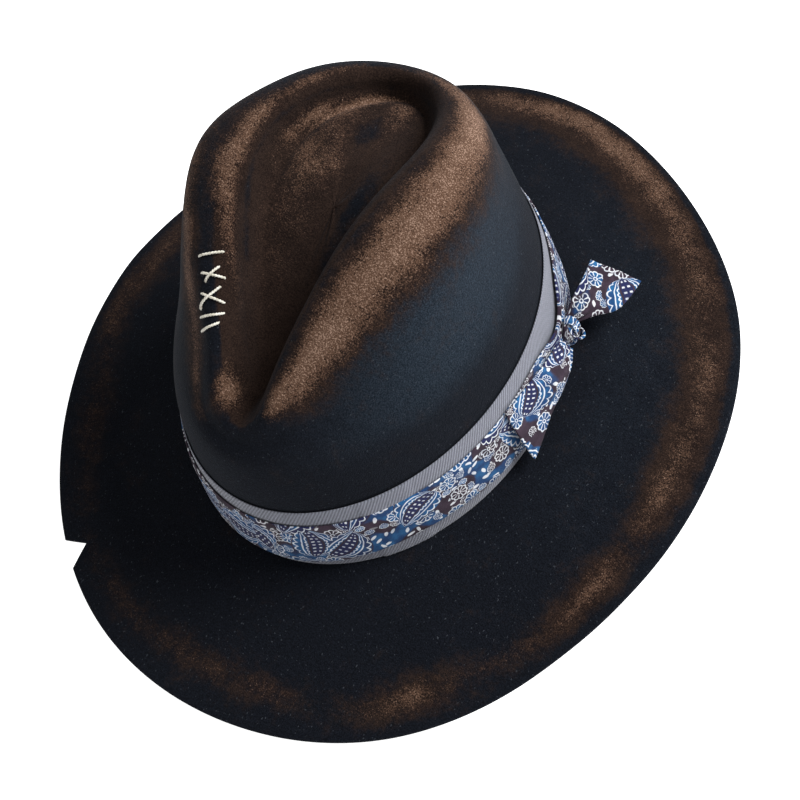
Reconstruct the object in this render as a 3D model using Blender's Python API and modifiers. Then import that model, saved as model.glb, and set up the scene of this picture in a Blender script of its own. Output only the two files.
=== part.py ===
"""A wide-brimmed felt hat with a teardrop crown, built as separate closed solids.

The felt is one piece, brim and crown together. A grosgrain band goes round the crown, a scarf ribbon
is tied over it with a knot on the wearer's left, and cream thread is stitched over the right ridge.
Units are metres, +Z is up, the front of the hat faces -Y and the wearer's left is +X.
A bearing is an angle in plan, in degrees, from the front round to the wearer's left.
"""

import math
from typing import NamedTuple

import bmesh
import bpy
import numpy as np

# Head oval, outside the felt, where the crown meets the brim
HEAD_WIDTH = 0.1656
HEAD_LENGTH = 0.2042

# Felt
FELT_THICKNESS = 0.0020
CROWN_HEIGHT = 0.1260
BREAK_HEIGHT = 0.0156
BRIM_REACH = 0.0750
BRIM_CURL = 1.6
BRIM_LIFT = 0.0050
REST_CUT = 0.0003

# Pinches at the front of the crown, one on each side, and the dip between the ridges
PINCH_DEPTH = 0.0090
PINCH_BEARING = 48.0
PINCH_SPREAD = 20.0
PINCH_ROW = 5.6
PINCH_ROWS = 1.3
DIP_DEPTH = 0.0030
DIP_SPREAD = 20.0
DIP_ROW = 7.5
DIP_ROWS = 1.6
SOFT_POINT = 0.30

# The right shoulder is fuller than the left one
SWELL_DEPTH = 0.0055
SWELL_RISE = 0.3
SWELL_BEARING = 262.0
SWELL_SPREAD = 18.0
SWELL_ROW = 5.8
SWELL_ROWS = 1.4

# The left ridge leans over the dent, and the dent's floor reaches out under the right ridge
LEAN_SHARE = 0.36
LEAN_BEARING = 70.0
LEAN_SPREAD = 48.0
LEAN_FROM_ROW = 5.0
LEAN_TO_ROW = 7.2
LEAN_RISE = 0.0040
LEAN_ROWS = 1.2
OPEN_SHARE = 0.11
OPEN_BEARING = 256.0
OPEN_SPREAD = 40.0
OPEN_FROM_ROW = 7.0
OPEN_TO_ROW = 8.6

# Cut in the brim's edge
NOTCH_BEARING = 325.5
NOTCH_DEPTH = 0.0105
NOTCH_MOUTH = 0.0140

# Band and ribbon
GAP = 0.0003
BAND_HEIGHT = 0.0430
BAND_THICKNESS = 0.0007
RIBBON_HEIGHT = 0.0290
RIBBON_RISE = 0.0045
RIBBON_THICKNESS = 0.0008
RIBBON_STAND_OFF = 0.0024
STAND_OFF_SPREAD = 24.0

# Knot and tails
KNOT_BEARING = 112.0
KNOT_LENGTH = 0.0140
KNOT_TALL = 0.0150
KNOT_DEEP = 0.0100
TAIL_THICKNESS = 0.0010

# Stitches
THREAD = 0.0010
STITCH_ARCH = 0.0010

# Mesh counts
BEARINGS = 60
ROW_STEPS = 2
BRIM_STEPS = 7
BAND_STEPS = 2
TAIL_STEPS = 2
THREAD_STEPS = 6


class Ring(NamedTuple):
    """One level of the crown, in shares of the head oval and of the crown's height."""

    width: float
    length: float
    setback: float
    point: float
    front: float
    side: float
    back: float


CROWN = {
    "break": Ring(1.000, 1.000, 0.000, 0.00, 0.000, 0.000, 0.000),
    "band_middle": Ring(0.960, 0.975, 0.000, 0.00, 0.165, 0.165, 0.165),
    "band_top": Ring(0.915, 0.950, 0.000, 0.02, 0.345, 0.345, 0.345),
    "low_wall": Ring(0.865, 0.925, 0.000, 0.06, 0.480, 0.520, 0.510),
    "middle_wall": Ring(0.795, 0.895, 0.005, 0.15, 0.573, 0.690, 0.660),
    "high_wall": Ring(0.745, 0.850, 0.012, 0.30, 0.610, 0.880, 0.800),
    "shoulder": Ring(0.655, 0.818, 0.018, 0.47, 0.650, 0.985, 0.877),
    "crest": Ring(0.515, 0.753, 0.028, 0.62, 0.655, 1.010, 0.911),
    "lip": Ring(0.410, 0.694, 0.049, 0.70, 0.645, 0.982, 0.892),
    "inner_wall": Ring(0.372, 0.655, 0.072, 0.62, 0.636, 0.920, 0.850),
    "channel": Ring(0.330, 0.612, 0.090, 0.52, 0.632, 0.870, 0.828),
    "dome_foot": Ring(0.275, 0.530, 0.110, 0.42, 0.657, 0.868, 0.850),
    "dome_side": Ring(0.110, 0.220, 0.120, 0.30, 0.800, 0.872, 0.880),
    "dome_top": Ring(0.000, 0.000, 0.120, 0.00, 0.860, 0.860, 0.860),
}

# Brim reach in shares of BRIM_REACH, one for each 30 degrees of bearing from the front
REACH = (0.98, 1.00, 0.965, 1.00, 1.01, 0.95, 0.96, 0.955, 0.92, 1.00, 1.00, 0.995)

# Rise of the brim's edge in shares of BRIM_LIFT, one for each 45 degrees: the diagonals rest
LIFT = (0.60, 0.0, 1.0, 0.0, 1.0, 0.0, 1.0, 0.0)


class Station(NamedTuple):
    """One crossing of a tail: bearing, height share of the band and stand-off, for both edges."""

    top_bearing: float
    top_height: float
    top_off: float
    low_bearing: float
    low_height: float
    low_off: float


# Bearings are counted from the knot's side. Stand-offs are shares of RIBBON_HEIGHT beyond the ribbon
LOWER_TAIL = (
    Station(0.0, 0.52, 0.05, 0.0, 0.32, 0.20),
    Station(-4.5, 0.62, 0.0, -4.5, 0.32, 0.32),
    Station(-12.0, 0.66, 0.0, -10.5, 0.30, 0.42),
    Station(-19.5, 0.71, 0.0, -17.0, 0.26, 0.44),
    Station(-26.5, 0.75, 0.0, -27.0, 0.20, 0.46),
)
UPPER_TAIL = (
    Station(0.0, 0.56, 0.06, 0.0, 0.34, 0.20),
    Station(4.0, 0.62, 0.22, 2.2, 0.30, 0.50),
    Station(9.0, 0.60, 0.42, 4.2, 0.28, 0.80),
    Station(14.8, 0.57, 0.58, 10.8, 0.29, 1.20),
)


class Stitch(NamedTuple):
    """A thread over the ridge: bearing and crown row at both ends, and its layer where two cross."""

    from_bearing: float
    from_row: float
    to_bearing: float
    to_row: float
    layer: int


STITCHES = (
    Stitch(294.5, 6.30, 294.0, 7.50, 0),
    Stitch(298.5, 6.30, 301.5, 7.55, 0),
    Stitch(301.0, 6.45, 298.0, 7.25, 1),
    Stitch(303.0, 6.05, 308.5, 7.40, 0),
    Stitch(306.5, 5.80, 303.5, 7.25, 1),
    Stitch(308.0, 5.60, 311.5, 7.35, 0),
    Stitch(311.5, 5.50, 313.0, 6.90, 0),
)


def clear_scene() -> None:
    """Remove every object that the file opens with."""
    for item in list(bpy.data.objects):
        bpy.data.objects.remove(item, do_unlink=True)


def smooth(values: np.ndarray, place: np.ndarray, closed: bool) -> np.ndarray:
    """Read a table between its rows, on a Catmull-Rom curve through them."""
    values = np.asarray(values, dtype=float)
    place = np.asarray(place, dtype=float)
    whole = np.floor(place).astype(int)
    part = (place - whole)[..., None]
    picks = [whole + step for step in (-1, 0, 1, 2)]
    if closed:
        picks = [pick % len(values) for pick in picks]
    else:
        picks = [np.clip(pick, 0, len(values) - 1) for pick in picks]
    before, low, high, after = (values[pick] for pick in picks)
    return 0.5 * (
        2 * low
        + (high - before) * part
        + (2 * before - 5 * low + 4 * high - after) * part**2
        + (3 * low - before - 3 * high + after) * part**3
    )


def table(rows) -> np.ndarray:
    """Turn a list of shares, or of rows of shares, into columns."""
    values = np.array(list(rows), dtype=float)
    return values[:, None] if values.ndim == 1 else values


def pointed(turn: np.ndarray, point: np.ndarray) -> np.ndarray:
    """Side shape of an oval whose front narrows to a soft point, with its widest place at 1."""
    widest = 1.0 / (2.0 + point)
    peak = 2.0 * np.sqrt(widest) * (1.0 - widest) ** ((1.0 + point) / 2.0)
    soft = (np.sin(turn / 2.0) ** 4 + SOFT_POINT**4) ** 0.25
    return np.sin(turn) * soft**point / peak


def outward(turn: np.ndarray) -> np.ndarray:
    """Level unit vectors that point away from the head oval."""
    side = np.sin(turn) / HEAD_WIDTH
    along = -np.cos(turn) / HEAD_LENGTH
    size = np.hypot(side, along)
    return np.stack([side / size, along / size, np.zeros_like(side)], axis=-1)


def bump(distance: np.ndarray, spread: float) -> np.ndarray:
    """A smooth hump, 1 in the middle."""
    return np.exp(-((distance / spread) ** 2))


def rise(value: np.ndarray, low: float, high: float) -> np.ndarray:
    """A smooth step from 0 at low to 1 at high."""
    share = np.clip((value - low) / (high - low), 0.0, 1.0)
    return share * share * (3.0 - 2.0 * share)


def apart(bearing: np.ndarray, other: float) -> np.ndarray:
    """Signed angle in degrees from one bearing to another."""
    return (bearing - other + 180.0) % 360.0 - 180.0


def crown_place(bearing, row) -> np.ndarray:
    """Outer face of the crown at a bearing in degrees and a row of CROWN, in hat coordinates."""
    bearing, row = np.broadcast_arrays(np.asarray(bearing, float), np.asarray(row, float))
    turn = np.radians(bearing)
    width, length, setback, point, front, side, back = np.moveaxis(
        smooth(table(CROWN.values()), row, closed=False), -1, 0
    )
    across = HEAD_WIDTH / 2 * width * pointed(turn, np.maximum(point, 0.0))
    along = HEAD_LENGTH / 2 * (setback - length * np.cos(turn))
    ahead = -np.cos(turn)
    height = side + (back - front) / 2 * ahead + ((back + front) / 2 - side) * ahead**2
    from_front = np.degrees(np.arccos(np.clip(np.cos(turn), -1.0, 1.0)))
    pinch = PINCH_DEPTH * bump(from_front - PINCH_BEARING, PINCH_SPREAD) * bump(row - PINCH_ROW, PINCH_ROWS)
    across = across - np.sign(across) * np.minimum(pinch, np.abs(across) * 0.8)
    lean = bump(apart(bearing, LEAN_BEARING), LEAN_SPREAD)
    widen = bump(apart(bearing, OPEN_BEARING), OPEN_SPREAD)
    across = across * (1.0 - LEAN_SHARE * lean * rise(row, LEAN_FROM_ROW, LEAN_TO_ROW))
    across = across * (1.0 + OPEN_SHARE * widen * rise(row, OPEN_FROM_ROW, OPEN_TO_ROW))
    dip = DIP_DEPTH * bump(from_front, DIP_SPREAD) * bump(row - DIP_ROW, DIP_ROWS)
    level = BREAK_HEIGHT + CROWN_HEIGHT * height - dip + LEAN_RISE * lean * bump(row - LEAN_TO_ROW, LEAN_ROWS)
    place = np.stack([across, along, level], axis=-1) + middle()
    swell = SWELL_DEPTH * bump(apart(bearing, SWELL_BEARING), SWELL_SPREAD) * bump(row - SWELL_ROW, SWELL_ROWS)
    place = place + outward(turn) * swell[..., None]
    place[..., 2] += SWELL_RISE * swell
    return place


def edge_lift(bearing: np.ndarray) -> np.ndarray:
    """Height of the felt's top face at the brim's edge."""
    share = smooth(table(LIFT), np.asarray(bearing) / 45.0, closed=True)[..., 0]
    return BRIM_LIFT * share + FELT_THICKNESS - REST_CUT


def brim_reach(bearing: np.ndarray) -> np.ndarray:
    """Distance from the head oval to the brim's edge."""
    return BRIM_REACH * smooth(table(REACH), np.asarray(bearing) / 30.0, closed=True)[..., 0]


def oval(bearing: np.ndarray) -> np.ndarray:
    """The head oval in plan."""
    turn = np.radians(bearing)
    across, along = HEAD_WIDTH / 2 * np.sin(turn), -HEAD_LENGTH / 2 * np.cos(turn)
    return np.stack([across, along, np.zeros_like(across)], axis=-1)


def middle() -> np.ndarray:
    """Shift that puts the middle of the brim's outline on the Z axis."""
    bearing = np.arange(0.0, 360.0, 360.0 / BEARINGS)
    edge = oval(bearing) + outward(np.radians(bearing)) * brim_reach(bearing)[:, None]
    return -(edge.min(axis=0) + edge.max(axis=0)) / 2


def brim_place(bearing, share) -> np.ndarray:
    """Top face of the brim, from the head oval (share 0) to the edge (share 1)."""
    bearing, share = np.broadcast_arrays(np.asarray(bearing, float), np.asarray(share, float))
    out = outward(np.radians(bearing)) * (brim_reach(bearing) * share)[..., None]
    edge = edge_lift(bearing)
    height = edge + (BREAK_HEIGHT - edge) * (1.0 - share) ** BRIM_CURL
    place = oval(bearing) + out + middle()
    place[..., 2] += height
    return place


def band_row(share: np.ndarray) -> np.ndarray:
    """Crown row at a height given in shares of the band's height."""
    rows = table(CROWN.values())[:4, 5] * CROWN_HEIGHT
    return np.interp(np.asarray(share) * BAND_HEIGHT, rows, np.arange(len(rows)))


def ribbon_lift(bearing: np.ndarray) -> np.ndarray:
    """How far the ribbon's inner face stands from the felt: close to the band, looser at the knot."""
    near = bump((np.asarray(bearing) - KNOT_BEARING + 180.0) % 360.0 - 180.0, STAND_OFF_SPREAD)
    return GAP + BAND_THICKNESS + GAP + RIBBON_STAND_OFF * near


def beside(bearing, height, away) -> np.ndarray:
    """A place beside the crown: band height share, and distance out from the felt."""
    bearing, away = np.broadcast_arrays(np.asarray(bearing, float), np.asarray(away, float))
    return crown_place(bearing, band_row(height)) + outward(np.radians(bearing)) * away[..., None]


def finish(name: str, colour: tuple, roughness: float) -> bpy.types.Material:
    """A plain Principled material."""
    material = bpy.data.materials.new(name)
    material.use_nodes = True
    shader = material.node_tree.nodes["Principled BSDF"]
    shader.inputs["Base Color"].default_value = (*colour, 1.0)
    shader.inputs["Roughness"].default_value = roughness
    shader.inputs["Metallic"].default_value = 0.0
    return material


def collection(name: str) -> bpy.types.Collection:
    """A new collection in the scene."""
    group = bpy.data.collections.new(name)
    bpy.context.scene.collection.children.link(group)
    return group


def add(name: str, data: bpy.types.ID, material: bpy.types.Material) -> bpy.types.Object:
    """Make an object in its own collection with its own material."""
    item = bpy.data.objects.new(name, data)
    data.materials.append(material)
    collection(name).objects.link(item)
    return item


def grid_mesh(name: str, places: np.ndarray, around: bool, cap: bool) -> bpy.types.Mesh:
    """Skin a grid of places. around joins the last column to the first, cap closes the last row."""
    rows, columns = places.shape[:2]
    mesh = bpy.data.meshes.new(name)
    build = bmesh.new()
    flat = places.reshape(-1, 3)
    if cap:
        flat = flat[: (rows - 1) * columns + 1]
    verts = [build.verts.new(tuple(place)) for place in flat]
    spans = columns if around else columns - 1
    for row in range(rows - 1):
        for column in range(spans):
            beyond = (column + 1) % columns
            low, low_next = verts[row * columns + column], verts[row * columns + beyond]
            if cap and row == rows - 2:
                build.faces.new((low, low_next, verts[-1]))
            else:
                high, high_next = verts[(row + 1) * columns + column], verts[(row + 1) * columns + beyond]
                build.faces.new((low, low_next, high_next, high))
    build.to_mesh(mesh)
    build.free()
    return mesh


def thicken(item: bpy.types.Object, thickness: float, offset: float) -> None:
    """Give an open surface its thickness. offset -1 goes inwards, 1 outwards, 0 both ways."""
    solid = item.modifiers.new("Thickness", "SOLIDIFY")
    solid.thickness = thickness
    solid.offset = offset
    solid.use_even_offset = True


def cut(item: bpy.types.Object, cutter: bpy.types.Object) -> None:
    """Take a cutter away from a solid."""
    boolean = item.modifiers.new("Cut", "BOOLEAN")
    boolean.operation = "DIFFERENCE"
    boolean.solver = "EXACT"
    boolean.object = cutter
    cutter.display_type = "WIRE"
    cutter.hide_render = True


def floor_cutter(group: bpy.types.Collection) -> bpy.types.Object:
    """A block below the floor, which trims the resting places of the brim flat."""
    span = HEAD_LENGTH + 4 * BRIM_REACH
    bpy.ops.mesh.primitive_cube_add(size=1.0, location=(0.0, 0.0, -BREAK_HEIGHT / 2))
    block = bpy.context.active_object
    block.name = "cut_floor"
    block.scale = (span, span, BREAK_HEIGHT)
    for owner in list(block.users_collection):
        owner.objects.unlink(block)
    group.objects.link(block)
    return block


def notch_cutter(group: bpy.types.Collection) -> bpy.types.Object:
    """A three-sided prism at the brim's edge, its tip pointing inwards."""
    mesh = bpy.data.meshes.new("cut_notch")
    build = bmesh.new()
    bmesh.ops.create_cone(build, cap_ends=True, segments=3, radius1=1.0, radius2=1.0, depth=BREAK_HEIGHT * 2)
    mouth_share = math.sqrt(4.0 / 3.0)
    bmesh.ops.scale(build, vec=(NOTCH_MOUTH / mouth_share, NOTCH_DEPTH, 1.0), verts=build.verts)
    build.to_mesh(mesh)
    build.free()
    cutter = bpy.data.objects.new("cut_notch", mesh)
    out = outward(np.radians(NOTCH_BEARING))
    cutter.location = tuple(brim_place(NOTCH_BEARING, 1.0))
    cutter.rotation_euler = (0.0, 0.0, math.atan2(out[1], out[0]) + math.pi / 2)
    group.objects.link(cutter)
    return cutter


def build_felt(cutters: bpy.types.Collection) -> None:
    """Crown and brim in one shell, with the notch cut out and flat resting places."""
    bearing = np.arange(0.0, 360.0, 360.0 / BEARINGS)
    shares = np.linspace(1.0, 0.0, BRIM_STEPS + 1)[:-1]
    rows = np.linspace(0.0, len(CROWN) - 1, (len(CROWN) - 1) * ROW_STEPS + 1)
    brim = brim_place(bearing[None, :], shares[:, None])
    crown = crown_place(bearing[None, :], rows[:, None])
    mesh = grid_mesh("felt_body", np.concatenate([brim, crown]), around=True, cap=True)
    felt = add("felt_body", mesh, finish("felt", (0.035, 0.035, 0.042), 0.95))
    thicken(felt, FELT_THICKNESS, -1.0)
    cut(felt, notch_cutter(cutters))
    cut(felt, floor_cutter(cutters))


def build_wrap(name: str, low: float, high: float, away, thickness: float, look: bpy.types.Material) -> None:
    """A strip that goes round the crown between two heights."""
    bearing = np.arange(0.0, 360.0, 360.0 / BEARINGS)
    heights = np.linspace(low, high, BAND_STEPS + 1) / BAND_HEIGHT
    places = beside(bearing[None, :], heights[:, None], np.broadcast_to(away, bearing.shape)[None, :])
    strip = add(name, grid_mesh(name, places, around=True, cap=False), look)
    thicken(strip, thickness, 1.0)


def knot_middle() -> np.ndarray:
    """Middle of the knot, just clear of the ribbon."""
    away = ribbon_lift(KNOT_BEARING) + RIBBON_THICKNESS + GAP + KNOT_DEEP / 2
    height = (RIBBON_RISE + RIBBON_HEIGHT / 2) / BAND_HEIGHT
    return beside(KNOT_BEARING, height, away + GAP)


def knot_half_bearing() -> float:
    """Bearing from the knot's middle to just past its side."""
    turn = math.radians(KNOT_BEARING)
    arc = math.hypot(HEAD_WIDTH / 2 * math.cos(turn), HEAD_LENGTH / 2 * math.sin(turn))
    return math.degrees((KNOT_LENGTH / 2 + GAP) / arc)


def build_knot() -> None:
    """The knot as one rounded solid."""
    mesh = bpy.data.meshes.new("ribbon_knot")
    build = bmesh.new()
    bmesh.ops.create_uvsphere(build, u_segments=16, v_segments=10, radius=0.5)
    bmesh.ops.scale(build, vec=(KNOT_DEEP, KNOT_LENGTH, KNOT_TALL), verts=build.verts)
    build.to_mesh(mesh)
    build.free()
    knot = add("ribbon_knot", mesh, finish("knot_cotton", (0.07, 0.04, 0.07), 0.85))
    out = outward(np.radians(KNOT_BEARING))
    knot.location = tuple(knot_middle())
    knot.rotation_euler = (0.0, 0.0, math.atan2(out[1], out[0]))


def build_tail(name: str, stations: tuple, side: int, look: bpy.types.Material) -> None:
    """A loose end of the ribbon, skinned between the stations of its two edges. side is 1 or -1."""
    start = KNOT_BEARING + side * knot_half_bearing()
    count = (len(stations) - 1) * TAIL_STEPS + 1
    columns = smooth(table(stations), np.linspace(0.0, len(stations) - 1, count), closed=False)
    top_bearing, top_height, top_off, low_bearing, low_height, low_off = columns.T
    edges = []
    for bearing, height, off in ((top_bearing, top_height, top_off), (low_bearing, low_height, low_off)):
        bearing = start + bearing
        away = ribbon_lift(bearing) + RIBBON_THICKNESS + GAP + TAIL_THICKNESS / 2 + RIBBON_HEIGHT * off
        edges.append(beside(bearing, height, away))
    across = np.linspace(0.0, 1.0, TAIL_STEPS + 1)[:, None, None]
    places = edges[0][None] * (1.0 - across) + edges[1][None] * across
    tail = add(name, grid_mesh(name, places, around=False, cap=False), look)
    thicken(tail, TAIL_THICKNESS, 0.0)


def build_stitch(number: int, stitch: Stitch, look: bpy.types.Material) -> None:
    """One thread, arched over the ridge."""
    part = np.linspace(0.0, 1.0, THREAD_STEPS + 1)
    bearing = stitch.from_bearing + (stitch.to_bearing - stitch.from_bearing) * part
    row = stitch.from_row + (stitch.to_row - stitch.from_row) * part
    places = crown_place(bearing, row)
    lift = THREAD / 2 + 2 * GAP + (STITCH_ARCH + stitch.layer * (THREAD + 2 * GAP)) * np.sin(np.pi * part)
    places = places + crown_normal(bearing, row) * lift[:, None]
    curve = bpy.data.curves.new(f"stitch_{number}", "CURVE")
    curve.dimensions = "3D"
    curve.bevel_depth = THREAD / 2
    curve.bevel_resolution = 1
    curve.use_fill_caps = True
    spline = curve.splines.new("POLY")
    spline.points.add(len(places) - 1)
    for point, place in zip(spline.points, places):
        point.co = (*place, 1.0)
    add(f"stitch_{number}", curve, look)


def crown_normal(bearing: np.ndarray, row: np.ndarray) -> np.ndarray:
    """Unit vectors that point out of the crown's outer face."""
    step = 0.01
    around = crown_place(bearing + step, row) - crown_place(bearing - step, row)
    along = crown_place(bearing, row + step) - crown_place(bearing, row - step)
    normal = np.cross(around, along)
    return normal / np.linalg.norm(normal, axis=-1, keepdims=True)


def main() -> None:
    """Build the hat."""
    clear_scene()
    cutters = collection("cutters")
    cutters.hide_render = True
    build_felt(cutters)
    bearing = np.arange(0.0, 360.0, 360.0 / BEARINGS)
    band_look = finish("grosgrain", (0.12, 0.12, 0.13), 0.6)
    build_wrap("grosgrain_band", GAP, BAND_HEIGHT, GAP, BAND_THICKNESS, band_look)
    scarf_look = finish("paisley_cotton", (0.10, 0.05, 0.09), 0.85)
    top = RIBBON_RISE + RIBBON_HEIGHT
    build_wrap("paisley_ribbon", RIBBON_RISE, top, ribbon_lift(bearing), RIBBON_THICKNESS, scarf_look)
    build_knot()
    build_tail("ribbon_tail_lower", LOWER_TAIL, -1, finish("lower_tail_cotton", (0.10, 0.05, 0.09), 0.85))
    build_tail("ribbon_tail_upper", UPPER_TAIL, 1, finish("upper_tail_cotton", (0.10, 0.05, 0.09), 0.85))
    for number, stitch in enumerate(STITCHES, start=1):
        build_stitch(number, stitch, finish(f"thread_{number}", (0.82, 0.78, 0.68), 0.6))


main()
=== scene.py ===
"""Looks of the wide-brimmed felt hat: rubbed black felt, grosgrain band, knotted scarf and hand stitches."""

import logging
import math
from dataclasses import dataclass, field
from enum import Enum

import bmesh
import bpy
import numpy as np
from mathutils import Matrix, Vector


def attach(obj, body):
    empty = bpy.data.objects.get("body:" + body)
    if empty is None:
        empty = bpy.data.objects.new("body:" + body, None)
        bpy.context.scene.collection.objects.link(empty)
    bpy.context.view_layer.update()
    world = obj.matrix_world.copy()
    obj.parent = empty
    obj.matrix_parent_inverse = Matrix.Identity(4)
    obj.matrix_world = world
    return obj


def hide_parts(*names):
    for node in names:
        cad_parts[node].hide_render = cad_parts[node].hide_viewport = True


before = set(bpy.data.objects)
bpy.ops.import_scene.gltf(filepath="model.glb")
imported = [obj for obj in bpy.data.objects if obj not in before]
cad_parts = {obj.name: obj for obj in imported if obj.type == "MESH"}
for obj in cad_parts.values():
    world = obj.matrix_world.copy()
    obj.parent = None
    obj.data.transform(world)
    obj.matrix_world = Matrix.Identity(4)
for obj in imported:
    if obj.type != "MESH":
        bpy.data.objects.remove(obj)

log = logging.getLogger("hat")

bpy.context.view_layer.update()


# Shapes worked out with numpy


def between(values: np.ndarray, place: np.ndarray, closed: bool) -> np.ndarray:
    """Read a table between its rows, on a Catmull-Rom curve through them.

    Args:
        values: one row for each station.
        place: row numbers, whole or not.
        closed: whether the last row is followed by the first.

    Returns:
        The columns at each place, on a new last axis.
    """
    values = np.asarray(values, dtype=float)
    place = np.asarray(place, dtype=float)
    whole = np.floor(place).astype(int)
    part = (place - whole)[..., None]
    picks = [whole + step for step in (-1, 0, 1, 2)]
    if closed:
        picks = [pick % len(values) for pick in picks]
    else:
        picks = [np.clip(pick, 0, len(values) - 1) for pick in picks]
    before, low, high, after = (values[pick] for pick in picks)
    return 0.5 * (
        2 * low
        + (high - before) * part
        + (2 * before - 5 * low + 4 * high - after) * part**2
        + (3 * low - before - 3 * high + after) * part**3
    )


def hump(distance: np.ndarray, spread: float) -> np.ndarray:
    """A smooth hump: e to the power of minus the square of distance over spread."""
    return np.exp(-((np.asarray(distance) / spread) ** 2))


def rise(value: np.ndarray, low: float, high: float) -> np.ndarray:
    """A smooth step: three x squared less two x cubed, of the share of the way from low to high."""
    share = np.clip((value - low) / (high - low), 0.0, 1.0)
    return share * share * (3.0 - 2.0 * share)


def apart(bearing: np.ndarray, other: float) -> np.ndarray:
    """Signed angle in degrees from one bearing to another, from -180 to 180."""
    return (np.asarray(bearing) - other + 180.0) % 360.0 - 180.0


def unit(vectors: np.ndarray) -> np.ndarray:
    """Vectors of length one."""
    return vectors / np.maximum(np.linalg.norm(vectors, axis=-1, keepdims=True), 1e-12)


def ripple(u: np.ndarray, v: np.ndarray, seed: int, count: int = 7) -> np.ndarray:
    """A smooth uneven surface: a sum of sines of u and v in turned directions.

    Args:
        u: first parameter, in waves.
        v: second parameter, in waves.
        seed: picks the directions and phases.
        count: number of sines.

    Returns:
        Heights from about -1 to 1.
    """
    random = np.random.default_rng(seed)
    total = np.zeros(np.broadcast(u, v).shape)
    for number in range(count):
        angle = random.uniform(0.0, 2.0 * math.pi)
        pace = random.uniform(0.6, 1.9)
        phase = random.uniform(0.0, 2.0 * math.pi)
        total = total + np.sin(2.0 * math.pi * pace * (u * math.cos(angle) + v * math.sin(angle)) + phase)
    return total / math.sqrt(count * 2.0)


def face_normals(places: np.ndarray, around: bool) -> np.ndarray:
    """Unit vectors square to a grid: the cross product of its steps along columns and rows."""
    if around:
        along = np.roll(places, -1, axis=1) - np.roll(places, 1, axis=1)
    else:
        along = np.gradient(places, axis=1)
    return unit(np.cross(along, np.gradient(places, axis=0)))


def skin(
    name: str,
    places: np.ndarray,
    around: bool = False,
    looped: bool = False,
    uv: np.ndarray | None = None,
    masks: dict[str, np.ndarray] | None = None,
    weld: bool = False,
) -> bpy.types.Object:
    """Skin a grid of places with quads.

    Args:
        name: name of the object.
        places: rows by columns by three.
        around: joins the last column to the first.
        looped: joins the last row to the first.
        uv: corner coordinates, rows + 1 by columns + 1 by two where the grid closes on itself.
        masks: values for each place, kept as attributes.
        weld: merges doubled places, such as a pole or the two ends of a tube.

    Returns:
        The new object, smooth shaded, its faces outwards where it is closed.
    """
    rows, columns = places.shape[:2]
    row = np.arange(rows if looped else rows - 1)[:, None]
    column = np.arange(columns if around else columns - 1)[None, :]
    row_next, column_next = (row + 1) % rows, (column + 1) % columns
    corners = (
        (row * columns + column, row, column),
        (row * columns + column_next, row, column + 1),
        (row_next * columns + column_next, row + 1, column + 1),
        (row_next * columns + column, row + 1, column),
    )
    faces = np.stack([np.broadcast_to(corner[0], (row.size, column.size)) for corner in corners], axis=-1)
    mesh = bpy.data.meshes.new(name)
    mesh.from_pydata(places.reshape(-1, 3).tolist(), [], faces.reshape(-1, 4).tolist())
    if uv is not None:
        layer = mesh.uv_layers.new(name="UVMap")
        shape = (row.size, column.size)
        picks = [uv[np.broadcast_to(corner[1], shape), np.broadcast_to(corner[2], shape)] for corner in corners]
        layer.data.foreach_set("uv", np.stack(picks, axis=2).astype(np.float32).ravel())
    for mask, values in (masks or {}).items():
        attribute = mesh.attributes.new(mask, "FLOAT", "POINT")
        attribute.data.foreach_set("value", values.astype(np.float32).ravel())
    return settle(name, mesh, weld)


def settle(name: str, mesh: bpy.types.Mesh, weld: bool) -> bpy.types.Object:
    """Put a mesh in the scene, welded and turned the right way round, and shaded smooth."""
    build = bmesh.new()
    build.from_mesh(mesh)
    if weld:
        bmesh.ops.remove_doubles(build, verts=build.verts, dist=1e-6)
    if not any(edge.is_boundary for edge in build.edges) and build.calc_volume(signed=True) < 0.0:
        bmesh.ops.reverse_faces(build, faces=build.faces)
    build.to_mesh(mesh)
    build.free()
    mesh.polygons.foreach_set("use_smooth", np.ones(len(mesh.polygons), dtype=bool))
    item = bpy.data.objects.new(name, mesh)
    bpy.context.scene.collection.objects.link(item)
    return item


def lengths(places: np.ndarray, axis: int) -> np.ndarray:
    """Distance walked along one axis of a grid, starting at nought."""
    steps = np.linalg.norm(np.diff(places, axis=axis), axis=-1)
    walked = np.cumsum(steps, axis=axis)
    start = np.zeros_like(np.take(walked, [0], axis=axis))
    return np.concatenate([start, walked], axis=axis)


def plied_tube(path: np.ndarray, up: np.ndarray, radius: np.ndarray, turns: float, sides: int = 12) -> np.ndarray:
    """A cord of two plies: a two-lobed section, turned as it is carried along a path.

    Args:
        path: points of the centre line.
        up: a reference direction at each point, not along the path.
        radius: radius at each point.
        turns: twists over the whole length.
        sides: points round the section.

    Returns:
        A grid, one row for each point of the path, with a closing point at both ends.
    """
    ahead = unit(np.gradient(path, axis=0))
    side = unit(np.cross(ahead, up))
    top = np.cross(side, ahead)
    share = np.linspace(0.0, 1.0, len(path))[:, None]
    angle = np.linspace(0.0, 2.0 * math.pi, sides, endpoint=False)[None, :]
    lobes = 1.0 + 0.22 * np.cos(2.0 * (angle - 2.0 * math.pi * turns * share))
    size = (radius[:, None] * lobes)[..., None]
    ring = path[:, None] + size * (np.cos(angle)[..., None] * side[:, None] + np.sin(angle)[..., None] * top[:, None])
    first = np.repeat(path[None, :1], sides, axis=1)
    last = np.repeat(path[None, -1:], sides, axis=1)
    return np.concatenate([first, ring, last])


# Form of the hat


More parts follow.
